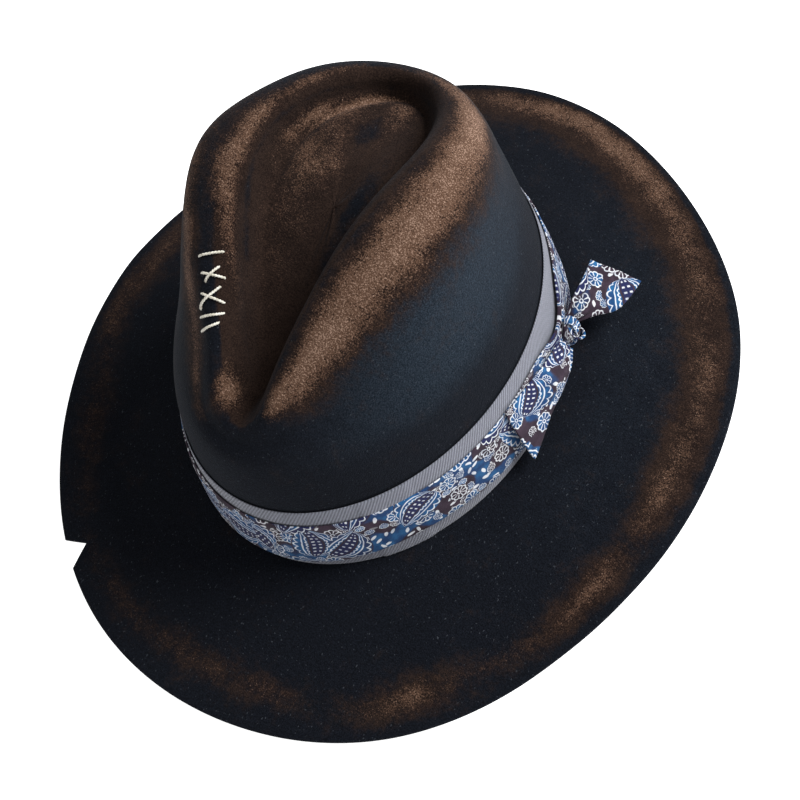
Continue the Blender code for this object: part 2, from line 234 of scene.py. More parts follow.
class Ring(Enum):
    """Levels of the crown in the order that the crown table has them."""

    BREAK = (1.000, 1.000, 0.000, 0.00, 0.000, 0.000, 0.000)
    BAND_MIDDLE = (0.960, 0.975, 0.000, 0.00, 0.165, 0.165, 0.165)
    BAND_TOP = (0.915, 0.950, 0.000, 0.02, 0.345, 0.345, 0.345)
    LOW_WALL = (0.865, 0.925, 0.000, 0.06, 0.480, 0.520, 0.510)
    MIDDLE_WALL = (0.795, 0.895, 0.005, 0.15, 0.573, 0.690, 0.660)
    HIGH_WALL = (0.745, 0.850, 0.012, 0.30, 0.610, 0.880, 0.800)
    SHOULDER = (0.655, 0.818, 0.018, 0.47, 0.650, 0.985, 0.877)
    CREST = (0.515, 0.753, 0.028, 0.62, 0.655, 1.010, 0.911)
    LIP = (0.410, 0.694, 0.049, 0.70, 0.645, 0.982, 0.892)
    INNER_WALL = (0.372, 0.655, 0.072, 0.62, 0.636, 0.920, 0.850)
    CHANNEL = (0.330, 0.612, 0.090, 0.52, 0.632, 0.870, 0.828)
    DOME_FOOT = (0.275, 0.530, 0.110, 0.42, 0.657, 0.868, 0.850)
    DOME_SIDE = (0.110, 0.220, 0.120, 0.30, 0.800, 0.872, 0.880)
    DOME_TOP = (0.000, 0.000, 0.120, 0.00, 0.860, 0.860, 0.860)


@dataclass(frozen=True)
class HatForm:
    """Sizes of the hat in metres, as the solids have them, and the surfaces that they give.

    A bearing is an angle in plan, in degrees, from the front round to the wearer's left.
    """

    head_width: float = 0.1656
    head_length: float = 0.2042
    felt: float = 0.0020
    crown_height: float = 0.1260
    break_height: float = 0.0156
    brim_reach: float = 0.0750
    brim_curl: float = 1.6
    brim_lift: float = 0.0050
    rest_cut: float = 0.0003
    pinch_depth: float = 0.0090
    pinch_bearing: float = 48.0
    pinch_spread: float = 20.0
    pinch_row: float = 5.6
    pinch_rows: float = 1.3
    dip_depth: float = 0.0030
    dip_spread: float = 20.0
    dip_row: float = 7.5
    dip_rows: float = 1.6
    swell_depth: float = 0.0055
    swell_rise: float = 0.3
    swell_bearing: float = 262.0
    swell_spread: float = 18.0
    swell_row: float = 5.8
    swell_rows: float = 1.4
    lean_share: float = 0.36
    lean_bearing: float = 70.0
    lean_spread: float = 48.0
    lean_from: float = 5.0
    lean_to: float = 7.2
    lean_rise: float = 0.0040
    lean_rows: float = 1.2
    open_share: float = 0.11
    open_bearing: float = 256.0
    open_spread: float = 40.0
    open_from: float = 7.0
    open_to: float = 8.6
    soft_point: float = 0.30
    band_height: float = 0.0430
    band: float = 0.0007
    gap: float = 0.0003
    knot_bearing: float = 112.0
    reach: tuple[float, ...] = (0.98, 1.00, 0.965, 1.00, 1.01, 0.95, 0.96, 0.955, 0.92, 1.00, 1.00, 0.995)
    lift: tuple[float, ...] = (0.60, 0.0, 1.0, 0.0, 1.0, 0.0, 1.0, 0.0)

    def pointed(self, turn: np.ndarray, point: np.ndarray) -> np.ndarray:
        """Side shape of an oval whose front narrows: sin t times a softened sin(t / 2) to a power, widest at 1."""
        widest = 1.0 / (2.0 + point)
        peak = 2.0 * np.sqrt(widest) * (1.0 - widest) ** ((1.0 + point) / 2.0)
        soft = (np.sin(turn / 2.0) ** 4 + self.soft_point**4) ** 0.25
        return np.sin(turn) * soft**point / peak

    def outward(self, bearing: np.ndarray) -> np.ndarray:
        """Level unit vectors square to the head oval."""
        turn = np.radians(bearing)
        level = np.stack([np.sin(turn) / self.head_width, -np.cos(turn) / self.head_length, 0.0 * turn], axis=-1)
        return unit(level)

    def oval(self, bearing: np.ndarray) -> np.ndarray:
        """The head oval in plan: an ellipse."""
        turn = np.radians(bearing)
        half_width, half_length = self.head_width / 2, self.head_length / 2
        return np.stack([half_width * np.sin(turn), -half_length * np.cos(turn), 0.0 * turn], axis=-1)

    def edge_reach(self, bearing: np.ndarray) -> np.ndarray:
        """Distance from the head oval to the brim's edge."""
        share = between(np.array(self.reach)[:, None], np.asarray(bearing) / 30.0, closed=True)
        return self.brim_reach * share[..., 0]

    def middle(self) -> np.ndarray:
        """Shift that puts the middle of the brim's outline on the Z axis."""
        bearing = np.arange(0.0, 360.0, 6.0)
        edge = self.oval(bearing) + self.outward(bearing) * self.edge_reach(bearing)[:, None]
        return -(edge.min(axis=0) + edge.max(axis=0)) / 2

    def crown(self, bearing: np.ndarray, row: np.ndarray) -> np.ndarray:
        """Outer face of the crown.

        Each ring is an oval that narrows to a point at the front. Its height runs on a parabola through
        the front, side and back heights. Two pinches pull the sides in and a dip lowers the front.

        Args:
            bearing: degrees from the front.
            row: level number in Ring, whole or not.

        Returns:
            Places in metres.
        """
        bearing, row = np.broadcast_arrays(np.asarray(bearing, float), np.asarray(row, float))
        turn = np.radians(bearing)
        rings = np.array([ring.value for ring in Ring])
        width, length, setback, point, front, side, back = np.moveaxis(between(rings, row, closed=False), -1, 0)
        across = self.head_width / 2 * width * self.pointed(turn, np.maximum(point, 0.0))
        along = self.head_length / 2 * (setback - length * np.cos(turn))
        ahead = -np.cos(turn)
        height = side + (back - front) / 2 * ahead + ((back + front) / 2 - side) * ahead**2
        from_front = np.abs(apart(bearing, 0.0))
        pinch = hump(from_front - self.pinch_bearing, self.pinch_spread) * hump(row - self.pinch_row, self.pinch_rows)
        across = across - np.sign(across) * np.minimum(self.pinch_depth * pinch, np.abs(across) * 0.8)
        lean = hump(apart(bearing, self.lean_bearing), self.lean_spread)
        widen = hump(apart(bearing, self.open_bearing), self.open_spread)
        across = across * (1.0 - self.lean_share * lean * rise(row, self.lean_from, self.lean_to))
        across = across * (1.0 + self.open_share * widen * rise(row, self.open_from, self.open_to))
        dip = self.dip_depth * hump(from_front, self.dip_spread) * hump(row - self.dip_row, self.dip_rows)
        level = self.break_height + self.crown_height * height - dip
        level = level + self.lean_rise * lean * hump(row - self.lean_to, self.lean_rows)
        place = np.stack([across, along, level], axis=-1) + self.middle()
        swell = hump(apart(bearing, self.swell_bearing), self.swell_spread) * hump(row - self.swell_row, self.swell_rows)
        place = place + self.outward(bearing) * (self.swell_depth * swell)[..., None]
        place[..., 2] += self.swell_rise * self.swell_depth * swell
        return place

    def brim(self, bearing: np.ndarray, share: np.ndarray) -> np.ndarray:
        """Top face of the brim: it falls from the head oval to the edge on a power curve.

        Args:
            bearing: degrees from the front.
            share: 0 at the head oval, 1 at the edge.

        Returns:
            Places in metres.
        """
        bearing, share = np.broadcast_arrays(np.asarray(bearing, float), np.asarray(share, float))
        rise = between(np.array(self.lift)[:, None], bearing / 45.0, closed=True)[..., 0]
        edge = self.brim_lift * rise + self.felt - self.rest_cut
        place = self.oval(bearing) + self.outward(bearing) * (self.edge_reach(bearing) * share)[..., None]
        place = place + self.middle()
        place[..., 2] += edge + (self.break_height - edge) * np.clip(1.0 - share, 0.0, 1.0) ** self.brim_curl
        return place

    def band_row(self, height: np.ndarray) -> np.ndarray:
        """Level number at a height in metres above the brim's break."""
        heights = np.array([ring.value[5] for ring in Ring])[:4] * self.crown_height
        return np.interp(height, heights, np.arange(len(heights)))

    def beside(self, bearing: np.ndarray, height: np.ndarray, away: np.ndarray) -> np.ndarray:
        """A place beside the crown, at a height in metres over the break and a distance from the felt."""
        place = self.crown(bearing, self.band_row(height))
        bearing, away = np.broadcast_arrays(np.asarray(bearing, float), np.asarray(away, float))
        return place + self.outward(bearing) * away[..., None]

    def crown_normal(self, bearing: np.ndarray, row: np.ndarray) -> np.ndarray:
        """Unit vectors out of the crown's outer face."""
        step = 0.01
        around = self.crown(bearing + step, row) - self.crown(bearing - step, row)
        along = self.crown(bearing, row + step) - self.crown(bearing, row - step)
        return unit(np.cross(around, along))


HAT = HatForm()


# Wiring of materials


class Wiring:
    """Adds nodes to one tree and joins them up."""

    def __init__(self, tree: bpy.types.NodeTree) -> None:
        """Keep the tree that the nodes go in."""
        self.tree = tree

    def put(self, kind: str, **settings: object) -> bpy.types.Node:
        """Add a node and set its properties."""
        node = self.tree.nodes.new(kind)
        for name, value in settings.items():
            setattr(node, name, value)
        return node

    def feed(self, socket: bpy.types.NodeSocket, value: object) -> None:
        """Link a socket to another one, or give it a plain value."""
        if isinstance(value, bpy.types.NodeSocket):
            self.tree.links.new(value, socket)
        elif isinstance(value, tuple) and socket.type == "RGBA" and len(value) == 3:
            socket.default_value = (*value, 1.0)
        else:
            socket.default_value = value

    def math(self, operation: str, first: object, second: object = 0.0, third: object = 0.0) -> bpy.types.NodeSocket:
        """One step of arithmetic."""
        node = self.put("ShaderNodeMath", operation=operation)
        for socket, value in zip(node.inputs, (first, second, third)):
            self.feed(socket, value)
        return node.outputs[0]

    def vector(self, operation: str, first: object, second: object = (0.0, 0.0, 0.0)) -> bpy.types.Node:
        """One step of vector arithmetic."""
        node = self.put("ShaderNodeVectorMath", operation=operation)
        self.feed(node.inputs[0], first)
        self.feed(node.inputs["Scale"] if operation == "SCALE" else node.inputs[1], second)
        return node

    def step(self, value: object, low: float, high: float) -> bpy.types.NodeSocket:
        """A smooth rise from 0 at low to 1 at high. It falls where low is above high."""
        node = self.put("ShaderNodeMapRange", interpolation_type="SMOOTHSTEP")
        rising = low < high
        for socket, number in zip(node.inputs, (value, min(low, high), max(low, high), *((0.0, 1.0) if rising else (1.0, 0.0)))):
            self.feed(socket, number)
        return node.outputs[0]

    def mix(self, share: object, low: object, high: object) -> bpy.types.NodeSocket:
        """A colour between two colours."""
        node = self.put("ShaderNodeMix", data_type="RGBA")
        self.feed(node.inputs[0], share)
        self.feed(node.inputs[6], low)
        self.feed(node.inputs[7], high)
        return node.outputs[2]

    def noise(self, vector: object, scale: float, detail: float = 2.0, roughness: float = 0.5) -> bpy.types.NodeSocket:
        """Noise of a given scale."""
        node = self.put("ShaderNodeTexNoise")
        self.feed(node.inputs["Vector"], vector)
        self.feed(node.inputs["Scale"], scale)
        self.feed(node.inputs["Detail"], detail)
        self.feed(node.inputs["Roughness"], roughness)
        return node.outputs["Fac"]

    def mask(self, name: str) -> bpy.types.NodeSocket:
        """A value that the mesh holds."""
        return self.put("ShaderNodeAttribute", attribute_name=name).outputs["Fac"]

    def bump(self, height: object, distance: float, strength: float = 1.0) -> bpy.types.NodeSocket:
        """A normal from a height."""
        node = self.put("ShaderNodeBump")
        self.feed(node.inputs["Strength"], strength)
        self.feed(node.inputs["Distance"], distance)
        self.feed(node.inputs["Height"], height)
        return node.outputs["Normal"]

    def use(self, group: bpy.types.NodeTree, **values: object) -> bpy.types.Node:
        """Place a node group and feed its inputs."""
        node = self.put("ShaderNodeGroup", node_tree=group)
        for name, value in values.items():
            self.feed(node.inputs[name.replace("_", " ")], value)
        return node


def new_material(name: str) -> tuple[bpy.types.Material, Wiring, bpy.types.Node]:
    """A material with a Principled shader, its wiring and the shader."""
    material = bpy.data.materials.new(name)
    material.use_nodes = True
    return material, Wiring(material.node_tree), material.node_tree.nodes["Principled BSDF"]


def new_group(name: str, inputs: dict[str, str], outputs: dict[str, str]) -> tuple[bpy.types.NodeTree, Wiring, dict, bpy.types.Node]:
    """A node group with named sockets.

    Args:
        name: the group's name.
        inputs: socket types by name.
        outputs: socket types by name.

    Returns:
        The group, its wiring, its inputs by name and its output node.
    """
    tree = bpy.data.node_groups.new(name, "ShaderNodeTree")
    for title, kind in inputs.items():
        tree.interface.new_socket(name=title, in_out="INPUT", socket_type=kind)
    for title, kind in outputs.items():
        tree.interface.new_socket(name=title, in_out="OUTPUT", socket_type=kind)
    wiring = Wiring(tree)
    source = wiring.put("NodeGroupInput")
    target = wiring.put("NodeGroupOutput")
    return tree, wiring, {title: source.outputs[title] for title in inputs}, target


def weave_group() -> bpy.types.NodeTree:
    """Threads over and under: the product of two sines across and along the cloth."""
    tree, wire, given, out = new_group(
        "Thread weave",
        {"Cloth": "NodeSocketVector", "Across": "NodeSocketFloat", "Along": "NodeSocketFloat"},
        {"Height": "NodeSocketFloat"},
    )
    parts = wire.put("ShaderNodeSeparateXYZ")
    wire.feed(parts.inputs[0], given["Cloth"])
    waves = [
        wire.math("SINE", wire.math("MULTIPLY", wire.math("MULTIPLY", parts.outputs[axis], 2.0 * math.pi), given[name]))
        for axis, name in ((0, "Along"), (1, "Across"))
    ]
    wire.feed(out.inputs["Height"], wire.math("MULTIPLY_ADD", wire.math("MULTIPLY", waves[0], waves[1]), 0.5, 0.5))
    return tree


def motif_cells(
    wire: Wiring, cloth: bpy.types.NodeSocket, pitch: float, jitter: float, seed: float
) -> tuple[bpy.types.NodeSocket, bpy.types.NodeSocket, bpy.types.Node]:
    """Split the cloth into cells, each with its own turned coordinates.

    Args:
        wire: wiring of the tree.
        cloth: cloth coordinates in metres.
        pitch: mean distance between motifs.
        jitter: how uneven the places are, 0 to 1.
        seed: shift of the layout.

    Returns:
        Across and along coordinates in pitches, turned by a chance angle, and the cell's colour node.
    """
    shifted = wire.vector("ADD", cloth, (seed, seed * 0.7, 0.0)).outputs[0]
    cells = wire.put("ShaderNodeTexVoronoi", voronoi_dimensions="2D", feature="F1")
    wire.feed(cells.inputs["Vector"], shifted)
    wire.feed(cells.inputs["Scale"], 1.0 / pitch)
    wire.feed(cells.inputs["Randomness"], jitter)
    local = wire.vector("SUBTRACT", shifted, cells.outputs["Position"]).outputs[0]
    local = wire.vector("SCALE", local, 1.0 / pitch).outputs[0]
    chance = wire.put("ShaderNodeSeparateColor")
    wire.feed(chance.inputs[0], cells.outputs["Color"])
    turned = wire.put("ShaderNodeVectorRotate", rotation_type="Z_AXIS")
    wire.feed(turned.inputs["Vector"], local)
    wire.feed(turned.inputs["Angle"], wire.math("MULTIPLY", chance.outputs[0], 2.0 * math.pi))
    parts = wire.put("ShaderNodeSeparateXYZ")
    wire.feed(parts.inputs[0], turned.outputs[0])
    return parts.outputs[0], parts.outputs[1], chance


def print_group() -> bpy.types.NodeTree:
    """A traditional paisley print: teardrops with scalloped borders, daisies and small leaves.

    A teardrop is a bent drop: a point's distance from the bent axis, over the drop's half width there.
    Lines of one colour follow chosen values of that ratio. Daisies are circles with a waved radius.
    """
    tree, wire, given, out = new_group(
        "Paisley print",
        {"Cloth": "NodeSocketVector"},
        {"Line": "NodeSocketFloat", "Blue": "NodeSocketFloat", "Deep": "NodeSocketFloat"},
    )
    wobble = wire.noise(given["Cloth"], 260.0, 1.0)
    drift = wire.vector("SCALE", wire.vector("SUBTRACT", wobble, (0.5, 0.5, 0.5)).outputs[0], 0.0011).outputs[0]
    cloth = wire.vector("ADD", given["Cloth"], drift).outputs[0]

    def ring(value: bpy.types.NodeSocket, at: object, half: float) -> bpy.types.NodeSocket:
        """A line where value is close to at."""
        return wire.step(wire.math("ABSOLUTE", wire.math("SUBTRACT", value, at)), half * 1.5, half * 0.6)

    def both(first: bpy.types.NodeSocket, second: bpy.types.NodeSocket) -> bpy.types.NodeSocket:
        """The larger of two masks."""
        return wire.math("MAXIMUM", first, second)

    def within(first: bpy.types.NodeSocket, second: bpy.types.NodeSocket) -> bpy.types.NodeSocket:
        """The product of two masks."""
        return wire.math("MULTIPLY", first, second)

    def less(value: bpy.types.NodeSocket) -> bpy.types.NodeSocket:
        """One minus a mask."""
        return wire.math("SUBTRACT", 1.0, value)

    # Teardrops
    x, y, chance = motif_cells(wire, cloth, 0.0265, 0.55, 0.013)
    bent = wire.math("ADD", x, wire.math("MULTIPLY", wire.math("MULTIPLY", y, y), 0.75))
    bent = wire.math("SUBTRACT", bent, 0.06)
    rise = wire.math("MULTIPLY_ADD", y, 1.0 / 0.84, 0.48)
    safe = wire.math("MINIMUM", wire.math("MAXIMUM", rise, 0.001), 0.999)
    half = wire.math("MULTIPLY", wire.math("SQRT", safe), wire.math("POWER", wire.math("SUBTRACT", 1.0, safe), 0.85))
    half = wire.math("MULTIPLY", half, 0.62)
    ratio = wire.math("DIVIDE", wire.math("ABSOLUTE", bent), wire.math("MAXIMUM", half, 0.012))
    outside = wire.step(wire.math("ABSOLUTE", wire.math("SUBTRACT", rise, 0.5)), 0.50, 0.56)
    ratio = wire.math("ADD", ratio, wire.math("MULTIPLY", outside, 6.0))
    angle = wire.math("ARCTAN2", bent, wire.math("ADD", y, 0.12))
    scallop = wire.math("ABSOLUTE", wire.math("SINE", wire.math("MULTIPLY", angle, 8.0)))
    drop = wire.step(ratio, 1.06, 0.98)
    border = within(wire.step(ratio, 1.72, 1.60), wire.step(ratio, 1.00, 1.06))
    line = both(ring(ratio, 1.0, 0.050), ring(ratio, wire.math("MULTIPLY_ADD", scallop, 0.30, 1.30), 0.065))
    line = both(line, within(ring(ratio, wire.math("MULTIPLY_ADD", scallop, 0.12, 0.62), 0.050), drop))
    seeds = ring(wire.math("FRACT", wire.math("MULTIPLY", rise, 9.0)), 0.5, 0.15)
    line = both(line, within(within(seeds, wire.step(ratio, 0.34, 0.28)), within(wire.step(ratio, 0.08, 0.14), drop)))
    drawn = wire.step(chance.outputs[2], 0.30, 0.32)
    line, kept = within(line, drawn), within(wire.step(ratio, 1.85, 1.70), drawn)
    blue = within(drawn, both(within(drop, wire.step(ratio, 0.52, 0.60)), within(border, wire.step(chance.outputs[1], 0.45, 0.50))))
    deep = within(drawn, both(within(border, wire.step(chance.outputs[1], 0.50, 0.45)), within(drop, wire.step(ratio, 0.44, 0.38))))
    free = less(kept)

    # Daisies
    for pitch, size, seed, share in ((0.0112, 0.36, 0.031, 0.34), (0.0064, 0.33, 0.057, 0.46)):
        x, y, chance = motif_cells(wire, cloth, pitch, 0.85, seed)
        away = wire.math("SQRT", wire.math("ADD", wire.math("MULTIPLY", x, x), wire.math("MULTIPLY", y, y)))
        angle = wire.math("ARCTAN2", x, y)
        petal = wire.math("ABSOLUTE", wire.math("COSINE", wire.math("MULTIPLY", angle, 4.5)))
        rim = wire.math("MULTIPLY_ADD", petal, size * 0.16, size * 0.86)
        flower = ring(away, rim, size * 0.080)
        spokes = within(wire.step(petal, 0.55, 0.30), within(wire.step(away, size * 0.30, size * 0.38), wire.step(away, size * 0.82, size * 0.74)))
        flower = both(flower, both(spokes, ring(away, size * 0.20, size * 0.06)))
        picked = within(free, wire.step(chance.outputs[1], share, share + 0.02))
        line = both(line, within(flower, picked))
        blue = both(blue, within(within(wire.step(away, size, size * 0.94), picked), wire.step(chance.outputs[2], 0.5, 0.52)))
        free = within(free, less(within(wire.step(away, size * 1.25, size * 1.15), picked)))

    # Leaves
    x, y, chance = motif_cells(wire, cloth, 0.0044, 0.70, 0.083)
    leaf = wire.math("ADD", wire.math("POWER", wire.math("ABSOLUTE", wire.math("MULTIPLY", x, 5.2)), 2.0),
                     wire.math("POWER", wire.math("ABSOLUTE", wire.math("MULTIPLY", y, 2.3)), 2.0))
    picked = within(free, wire.step(chance.outputs[1], 0.48, 0.50))
    line = both(line, within(wire.step(leaf, 1.05, 0.75), picked))
    wash = within(wire.step(wire.noise(cloth, 52.0, 1.0), 0.50, 0.56), less(kept))
    wire.feed(out.inputs["Line"], line)
    wire.feed(out.inputs["Blue"], both(blue, wire.math("MULTIPLY", wash, 0.85)))
    wire.feed(out.inputs["Deep"], deep)
    return tree


# Finishes


@dataclass(frozen=True)
class FeltFinish:
    """Napped black felt with brown rubbed patches, a paler bluish painted highlight where the wall and brim face the
    lights, and painted shade that keeps the dent's channel black. Colours are linear.
    """

    nap: tuple[float, float, float] = (0.0022, 0.0028, 0.0044)
    nap_light: tuple[float, float, float] = (0.0080, 0.0098, 0.0148)
    # The next two colours are a paler bluish nap: a painted highlight where the wall and brim face the lights.
    paler_tone: tuple[float, float, float] = (0.0050, 0.0078, 0.0125)
    painted_highlight_nap: tuple[float, float, float] = (0.0225, 0.0330, 0.0470)
    fibre: tuple[float, float, float] = (0.0750, 0.0850, 0.1000)
    brown: tuple[float, float, float] = (0.0085, 0.0048, 0.0038)
    brown_light: tuple[float, float, float] = (0.0300, 0.0180, 0.0135)
    smear: tuple[float, float, float] = (0.0520, 0.0280, 0.0190)
    rubbed: tuple[float, float, float] = (0.1050, 0.0580, 0.0370)
    chalk: tuple[float, float, float] = (0.3400, 0.2230, 0.1650)

    def make(self) -> bpy.types.Material:
        """Nodes: black nap, a paler bluish nap painted as a highlight where the wall and brim face the lights, a brown
        wash, and speckled rubbing where the mesh is worn.
        """
        material, wire, shader = new_material("rubbed_black_felt")
        place = wire.put("ShaderNodeTexCoord").outputs["Object"]
        fine = wire.noise(place, 1700.0, 2.0, 0.7)
        middle = wire.noise(place, 480.0, 3.0, 0.65)
        broad = wire.noise(place, 85.0, 3.0, 0.6)
        patch = wire.noise(place, 30.0, 2.0, 0.55)
        soft = wire.step(fine, 0.32, 0.72)
        # Painted highlight: paler bluish nap where the wall and brim face the lights.
        painted_highlight = wire.math("MULTIPLY", wire.mask("painted_highlight"), wire.step(wire.math("ADD", broad, wire.mask("painted_highlight")), 0.35, 1.15))
        nap = wire.mix(painted_highlight, wire.mix(soft, self.nap, self.nap_light), wire.mix(soft, self.paler_tone, self.painted_highlight_nap))
        stretched = wire.vector("MULTIPLY", place, (1.0, 0.55, 1.4)).outputs[0]
        fibres = wire.step(wire.noise(stretched, 1250.0, 1.0, 0.4), 0.70, 0.77)
        nap = wire.mix(wire.math("MULTIPLY", fibres, 0.45), nap, self.fibre)
        mottle = wire.math("ADD", wire.math("MULTIPLY", broad, 0.6), wire.math("MULTIPLY", middle, 0.4))
        wash = wire.step(wire.math("ADD", wire.math("MULTIPLY", wire.mask("brown"), 0.75), mottle), 0.52, 0.98)
        colour = wire.mix(wash, nap, wire.mix(wire.step(wire.math("ADD", fine, wire.math("MULTIPLY", mottle, 0.5)), 0.52, 0.98), self.brown, self.brown_light))
        uneven = wire.math("ADD", wire.math("MULTIPLY", wire.math("SUBTRACT", broad, 0.5), 0.75),
                           wire.math("MULTIPLY", wire.math("SUBTRACT", patch, 0.5), 0.60))
        worn = wire.math("ADD", wire.mask("rub"), wire.math("MULTIPLY", uneven, wire.step(wire.mask("rub"), 0.0, 0.30)))
        grain = wire.math("ADD", wire.math("MULTIPLY", fine, 0.72), wire.math("MULTIPLY", middle, 0.28))
        speck = wire.step(wire.math("ADD", grain, wire.math("MULTIPLY", worn, 0.33)), 0.585, 0.74)
        speck = wire.math("MULTIPLY", speck, wire.step(worn, 0.0, 0.18))
        bright = wire.step(wire.math("ADD", fine, wire.math("MULTIPLY", worn, 0.24)), 0.70, 0.89)
        tan = wire.mix(wire.step(worn, 0.15, 0.65), self.smear, self.rubbed)
        colour = wire.mix(wire.math("MULTIPLY", speck, 0.86), colour, wire.mix(bright, tan, self.chalk))
        wire.feed(shader.inputs["Base Color"], colour)
        shader.inputs["Roughness"].default_value = 0.95
        shader.inputs["Specular IOR Level"].default_value = 0.06
        shader.inputs["Sheen Weight"].default_value = 0.035
        shader.inputs["Sheen Roughness"].default_value = 0.5
        shader.inputs["Sheen Tint"].default_value = (0.62, 0.70, 0.85, 1.0)
        height = wire.math("ADD", wire.math("MULTIPLY", fine, 0.55), wire.math("MULTIPLY", middle, 0.45))
        wire.feed(shader.inputs["Normal"], wire.bump(height, 0.0009, 0.75))
        return material


@dataclass(frozen=True)
class GrosgrainFinish:
    """Ribbed grey ribbon."""

    # Groove and rib colours, mixed by height: painted shade in the grooves, painted highlight on the ribs.
    low: tuple[float, float, float] = (0.040, 0.042, 0.054)
    high: tuple[float, float, float] = (0.250, 0.262, 0.320)
    ribs_per_metre: float = 640.0
    threads_per_metre: float = 1300.0

    def make(self, weave: bpy.types.NodeTree) -> bpy.types.Material:
        """Nodes: ribs across the ribbon, fine threads along it, colour darker in the grooves and paler on the ribs as
        painted shade and highlight, and a little unevenness.
        """
        material, wire, shader = new_material("grey_grosgrain")
        cloth = wire.put("ShaderNodeUVMap", uv_map="UVMap").outputs[0]
        parts = wire.put("ShaderNodeSeparateXYZ")
        wire.feed(parts.inputs[0], cloth)
        slanted = wire.math("MULTIPLY_ADD", parts.outputs[1], -0.6, parts.outputs[0])
        rib = wire.math("SINE", wire.math("MULTIPLY", slanted, 2.0 * math.pi * self.ribs_per_metre))
        rib = wire.math("MULTIPLY_ADD", rib, 0.5, 0.5)
        thread = wire.use(weave, Cloth=cloth, Across=self.threads_per_metre, Along=self.ribs_per_metre / 2).outputs[0]
        cloudy = wire.noise(wire.put("ShaderNodeTexCoord").outputs["Object"], 900.0, 2.0)
        height = wire.math("ADD", wire.math("MULTIPLY", rib, 0.65), wire.math("MULTIPLY", thread, 0.35))
        # Colour follows the rib and thread height, a painted shade and highlight, with uneven tone from the noise.
        share = wire.math("ADD", wire.math("MULTIPLY", height, 0.75), wire.math("MULTIPLY", cloudy, 0.35))
        wire.feed(shader.inputs["Base Color"], wire.mix(share, self.low, self.high))
        shader.inputs["Roughness"].default_value = 0.62
        shader.inputs["Specular IOR Level"].default_value = 0.35
        shader.inputs["Sheen Weight"].default_value = 0.25
        shader.inputs["Sheen Roughness"].default_value = 0.4
        wire.feed(shader.inputs["Normal"], wire.bump(height, 0.0004, 0.8))
        return material


@dataclass(frozen=True)
class ScarfFinish:
    """Printed cotton: dark ground, blue fields and pale lines."""

    ground: tuple[float, float, float] = (0.020, 0.010, 0.020)
    ground_light: tuple[float, float, float] = (0.042, 0.024, 0.041)
    blue: tuple[float, float, float] = (0.003, 0.045, 0.150)
    blue_light: tuple[float, float, float] = (0.008, 0.110, 0.280)
    deep: tuple[float, float, float] = (0.008, 0.013, 0.070)
    line: tuple[float, float, float] = (0.780, 0.800, 0.830)
    threads_per_metre: float = 2600.0

    def make(self, weave: bpy.types.NodeTree, printed: bpy.types.NodeTree) -> bpy.types.Material:
        """Nodes: the print on the cloth's own coordinates, with a plain weave and a faint grey painted highlight on its
        raised threads.
        """
        material, wire, shader = new_material("paisley_cotton")
        cloth = wire.put("ShaderNodeUVMap", uv_map="UVMap").outputs[0]
        pattern = wire.use(printed, Cloth=cloth)
        thread = wire.use(weave, Cloth=cloth, Across=self.threads_per_metre, Along=self.threads_per_metre).outputs[0]
        paler_tone = wire.noise(cloth, 190.0, 3.0)
        ground = wire.mix(wire.step(paler_tone, 0.35, 0.70), self.ground, self.ground_light)
        blue = wire.mix(wire.step(paler_tone, 0.40, 0.66), self.blue, self.blue_light)
        colour = wire.mix(pattern.outputs["Deep"], ground, self.deep)
        colour = wire.mix(pattern.outputs["Blue"], colour, blue)
        dusty = wire.mix(wire.step(paler_tone, 0.25, 0.60), (0.50, 0.54, 0.62), self.line)
        colour = wire.mix(wire.math("MULTIPLY", pattern.outputs["Line"], 0.92), colour, dusty)
        # Faint grey painted highlight on the raised threads of the weave.
        colour = wire.mix(wire.math("MULTIPLY", thread, 0.05), colour, (0.30, 0.30, 0.34))
        wire.feed(shader.inputs["Base Color"], colour)
        shader.inputs["Roughness"].default_value = 0.85
        shader.inputs["Specular IOR Level"].default_value = 0.15
        shader.inputs["Sheen Weight"].default_value = 0.04
        shader.inputs["Sheen Roughness"].default_value = 0.5
        height = wire.math("ADD", wire.math("MULTIPLY", thread, 0.5), wire.math("MULTIPLY", wire.noise(cloth, 420.0, 2.0), 0.8))
        wire.feed(shader.inputs["Normal"], wire.bump(height, 0.0003, 0.7))
        return material


@dataclass(frozen=True)
class ThreadFinish:
    """Waxed cream thread."""

    low: tuple[float, float, float] = (0.46, 0.42, 0.33)
    high: tuple[float, float, float] = (0.82, 0.79, 0.70)

    def make(self) -> bpy.types.Material:
        """Nodes: strands along the thread's own coordinates, darker between them as painted shade, and small stains."""
        material, wire, shader = new_material("cream_thread")
        cloth = wire.put("ShaderNodeUVMap", uv_map="UVMap").outputs[0]
        parts = wire.put("ShaderNodeSeparateXYZ")
        wire.feed(parts.inputs[0], cloth)
        slant = wire.math("ADD", wire.math("MULTIPLY", parts.outputs[0], 2600.0), wire.math("MULTIPLY", parts.outputs[1], 6.0))
        strand = wire.math("MULTIPLY_ADD", wire.math("SINE", wire.math("MULTIPLY", slant, 2.0 * math.pi)), 0.5, 0.5)
        stain = wire.noise(wire.put("ShaderNodeTexCoord").outputs["Object"], 420.0, 2.0)
        # Colour darker between the strands, a painted shade, and varied by small stains.
        wire.feed(shader.inputs["Base Color"], wire.mix(wire.math("MULTIPLY_ADD", strand, 0.3, wire.step(stain, 0.25, 0.7)), self.low, self.high))
        shader.inputs["Roughness"].default_value = 0.5
        wire.feed(shader.inputs["Normal"], wire.bump(strand, 0.0001, 0.6))
        return material


# Sub-assemblies


